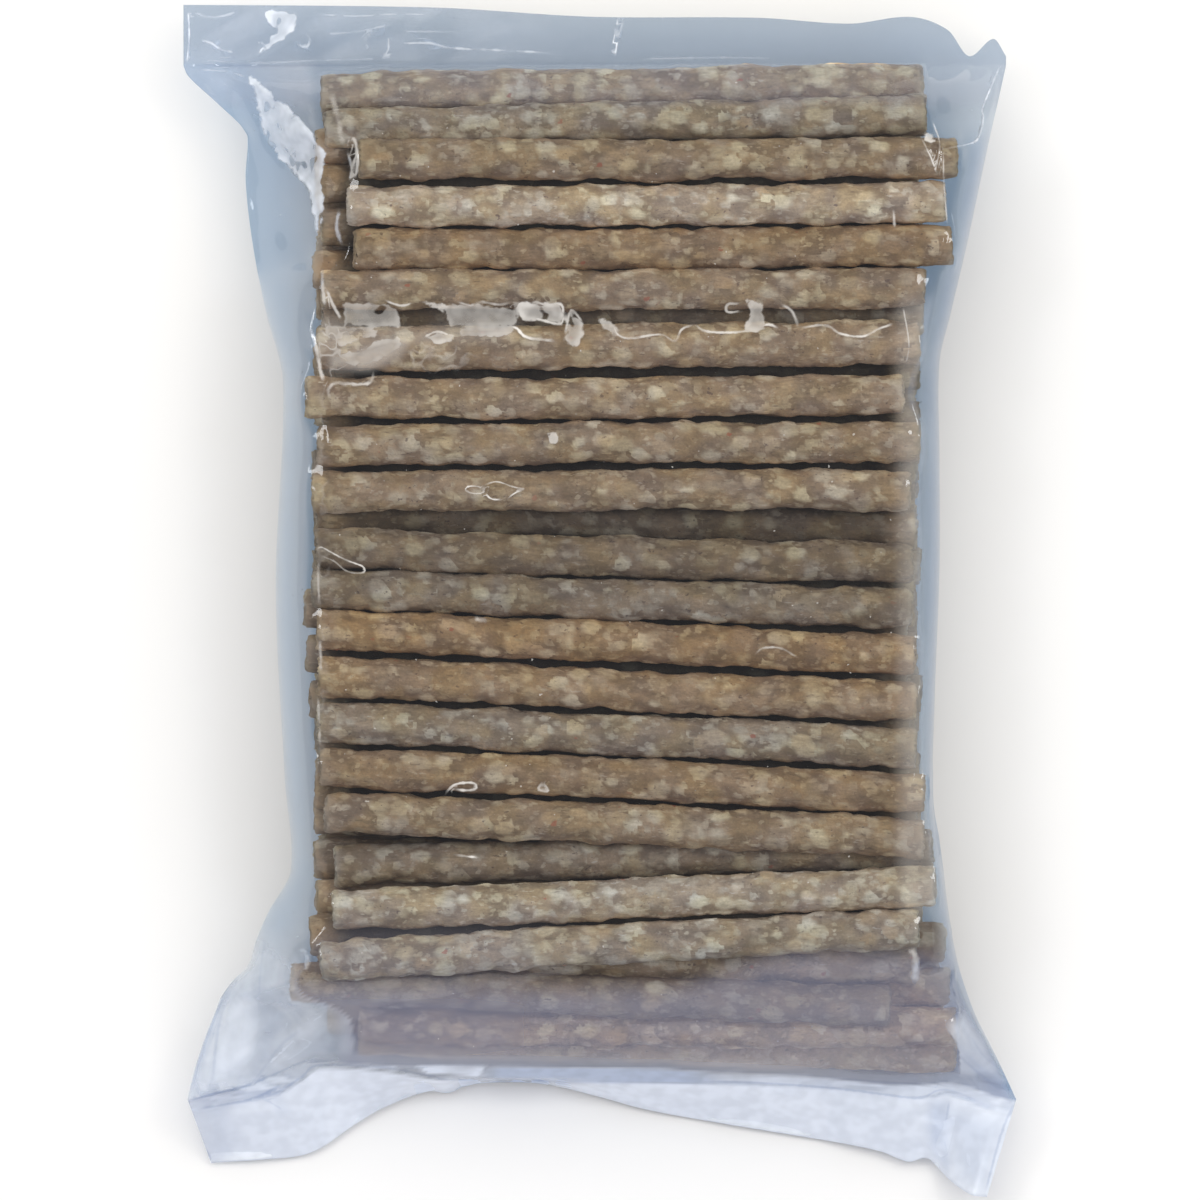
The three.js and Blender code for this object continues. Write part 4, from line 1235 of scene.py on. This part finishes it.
def film_material():
    """Clear film: tinted, slightly hazy, creased in places, with a mirror's gloss on its outer face, and
    with glints, glare and sheen painted on in white.
    """
    material, g = new_material("clear_film")
    place = g.node("ShaderNodeTexCoord").outputs["Object"]
    fine = g.noise(place, 900.0, 1.0)
    middling = g.noise(place, 280.0, 1.0)
    ragged = g.math("SUBTRACT", fine, 0.5)
    torn = g.math("SUBTRACT", middling, 0.5)

    def drawn(name):
        """On the lines that the mesh keeps under that name, their strength."""
        across, outside, strength = g.parts(g.kept(name, "Vector"))
        off = g.math("MULTIPLY_ADD", ragged, 1.3, g.math("ABSOLUTE", across))
        return g.fold("MULTIPLY", g.smooth(off, 1.5, 0.1), g.smooth(outside, 0.7, 0.35), strength)

    shade = g.mix_colours(g.math("MAXIMUM", drawn("dark"), g.kept("shade")), rgb(1, 1, 1), DEEP_SHADE)
    tint = g.tinted(g.kept("tint", "Color"), shade)
    seen_through = g.node("ShaderNodeBsdfTransparent", {"Color": tint})
    veil = g.node("ShaderNodeBsdfDiffuse", {"Color": HAZE})
    sheet = g.mix_shaders(g.kept("veil"), seen_through, veil)

    # Painted highlights: thin white loops along a noise's contours, where the film is crinkled.
    contour = g.smooth(g.math("ABSOLUTE", torn), 0.07, 0.0)
    glint_loops = g.math("MULTIPLY", contour, g.kept("painted_loops"))
    # Painted highlights: the glint lines, broken by noise.
    painted_glint = g.math("MULTIPLY", drawn("painted_glint"), g.smooth(middling, 0.36, 0.6, 0.35, 1.0))
    # Painted glare: white patches with ragged edges where the film would mirror the light.
    outside, strength, off_sticks = g.parts(g.kept("glare", "Vector"))
    edge = g.math("MULTIPLY_ADD", ragged, 1.0, g.math("MULTIPLY_ADD", torn, 2.2, outside))
    glare_patch = g.fold("MULTIPLY", g.smooth(edge, 0.3, -0.25), g.smooth(torn, 0.17, 0.11), strength)
    rim = g.smooth(outside, -1.1, -0.2, 0.82, 1.1)
    glare = g.fold("MULTIPLY", glare_patch, rim, g.smooth(torn, -0.2, 0.1, 1.15, 0.75))
    # Partly the film's own whitening, partly painted sheen and painted light.
    frost_and_sheen = g.math("MULTIPLY", g.kept("frost_and_sheen"), g.smooth(middling, 0.3, 0.7, 0.92, 1.08))
    dust = g.math("MULTIPLY", g.smooth(fine, 0.785, 0.82), 0.36)
    white = g.math("MAXIMUM", g.fold("MAXIMUM", painted_glint, frost_and_sheen, glint_loops, dust), glare, clamp=True)
    colour = g.tinted(g.mix_colours(off_sticks, WHITE_ON_STICKS, WHITE_OFF_STICKS), shade)
    sheet = g.mix_shaders(white, sheet, g.node("ShaderNodeBsdfDiffuse", {"Color": colour}))

    gloss = g.node("ShaderNodeBsdfGlossy", {"Color": rgb(1, 1, 1), "Roughness": 0.06})
    facing = g.node("ShaderNodeLayerWeight", {"Blend": 0.5}).outputs["Facing"]
    fresnel = g.math("MULTIPLY_ADD", g.math("POWER", facing, 5.0), 0.75, 0.05, clamp=True)
    outer = g.math("SUBTRACT", 1.0, g.node("ShaderNodeNewGeometry").outputs["Backfacing"])
    shader = g.mix_shaders(g.math("MULTIPLY", fresnel, outer), sheet, gloss)
    g.node("ShaderNodeOutputMaterial", {"Surface": shader.outputs[0]})
    return material


def floor_material():
    material, g = new_material("pale_floor")
    shader = g.node("ShaderNodeBsdfPrincipled", {"Base Color": rgb(0.9, 0.9, 0.9), "Roughness": 0.9})
    g.node("ShaderNodeOutputMaterial", {"Surface": shader.outputs[0]})
    return material


# ---- Camera, floor and light ----

FRAME_WIDTH = 250  # what the picture is wide, at the height of the camera's plane of measure
MEASURE_HEIGHT = 30
CAMERA_DISTANCE = 5000
FRAME_MIDDLE_Y = 0.4
FLOOR_HALF = 4000
FLOOR_BELOW = 0.2
# Place and size in metres, power, colour, and whether it shows in the film's gloss.
SOFTBOXES = {
    "overhead": ((0.1, 0.7, 1.5), (3.2, 2.4), 45, (1.0, 0.965, 0.90), False),
    "low_fill": ((0, -1.6, 1.3), (2.6, 1.2), 15, (0.86, 0.87, 1.0), False),
    "left_glint": ((-0.62, 0.3, 1.2), (0.28, 0.2), 1.2, (1, 1, 1), True),
    "right_glint": ((0.62, 0.3, 1.2), (0.3, 0.16), 1.2, (1, 1, 1), True),
}


def add_camera():
    data = bpy.data.cameras.new("camera")
    data.sensor_width = 36
    data.lens = data.sensor_width * CAMERA_DISTANCE / FRAME_WIDTH
    data.clip_start, data.clip_end = 0.1, 50
    camera = placed("camera", data)
    camera.location = (0, FRAME_MIDDLE_Y * MM, (MEASURE_HEIGHT + CAMERA_DISTANCE) * MM)
    bpy.context.scene.camera = camera


def add_softbox(name, place, size, power, colour, mirrored):
    """A rectangular light that faces the object."""
    data = bpy.data.lights.new(name, "AREA")
    data.shape = "RECTANGLE"
    data.size, data.size_y = size
    data.energy = power
    data.color = colour
    light = placed(name, data)
    light.location = place
    toward = -np.array(place)
    yaw = math.atan2(toward[1], toward[0]) - math.pi / 2
    pitch = math.atan2(math.hypot(toward[0], toward[1]), -toward[2])
    light.rotation_euler = (pitch, 0, yaw)
    light.visible_camera = False
    light.visible_glossy = mirrored


def add_world():
    world = bpy.data.worlds.new("studio")
    world.use_nodes = True
    background = world.node_tree.nodes["Background"].inputs
    background["Color"].default_value = rgb(0.9, 0.95, 1.0)
    background["Strength"].default_value = 0.2
    bpy.context.scene.world = world


def add_floor():
    half = FLOOR_HALF
    corners = [[-half, -half, 0], [half, -half, 0], [half, half, 0], [-half, half, 0]]
    floor = mesh_object("floor", corners, [[0, 1, 2, 3]])
    floor.location.z = -FLOOR_BELOW * MM
    floor.data.materials.append(floor_material())


def main():
    bpy.context.scene.view_settings.view_transform = "Standard"
    add_camera()
    add_world()
    add_floor()
    for name, softbox in SOFTBOXES.items():
        add_softbox(name, *softbox)

    sticks = stacked_sticks()
    fine = [stick for stick in sticks if stick["fine"]]
    coarse = [stick for stick in sticks if not stick["fine"]]
    pieces = []
    for start in range(0, len(fine), STICKS_A_PIECE):
        name = f"sticks_shown_{start // STICKS_A_PIECE + 1}"
        pieces.append(stick_piece(name, fine[start : start + STICKS_A_PIECE], **FINE))
    pieces.append(stick_piece("sticks_below", coarse, **COARSE))
    hide = stick_material()
    for piece in pieces:
        piece.data.materials.append(hide)
    film = film_piece(pieces)
    film.data.materials.append(film_material())
    for piece in [*pieces, film]:
        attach(piece, "root")
        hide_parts("bag")


main()
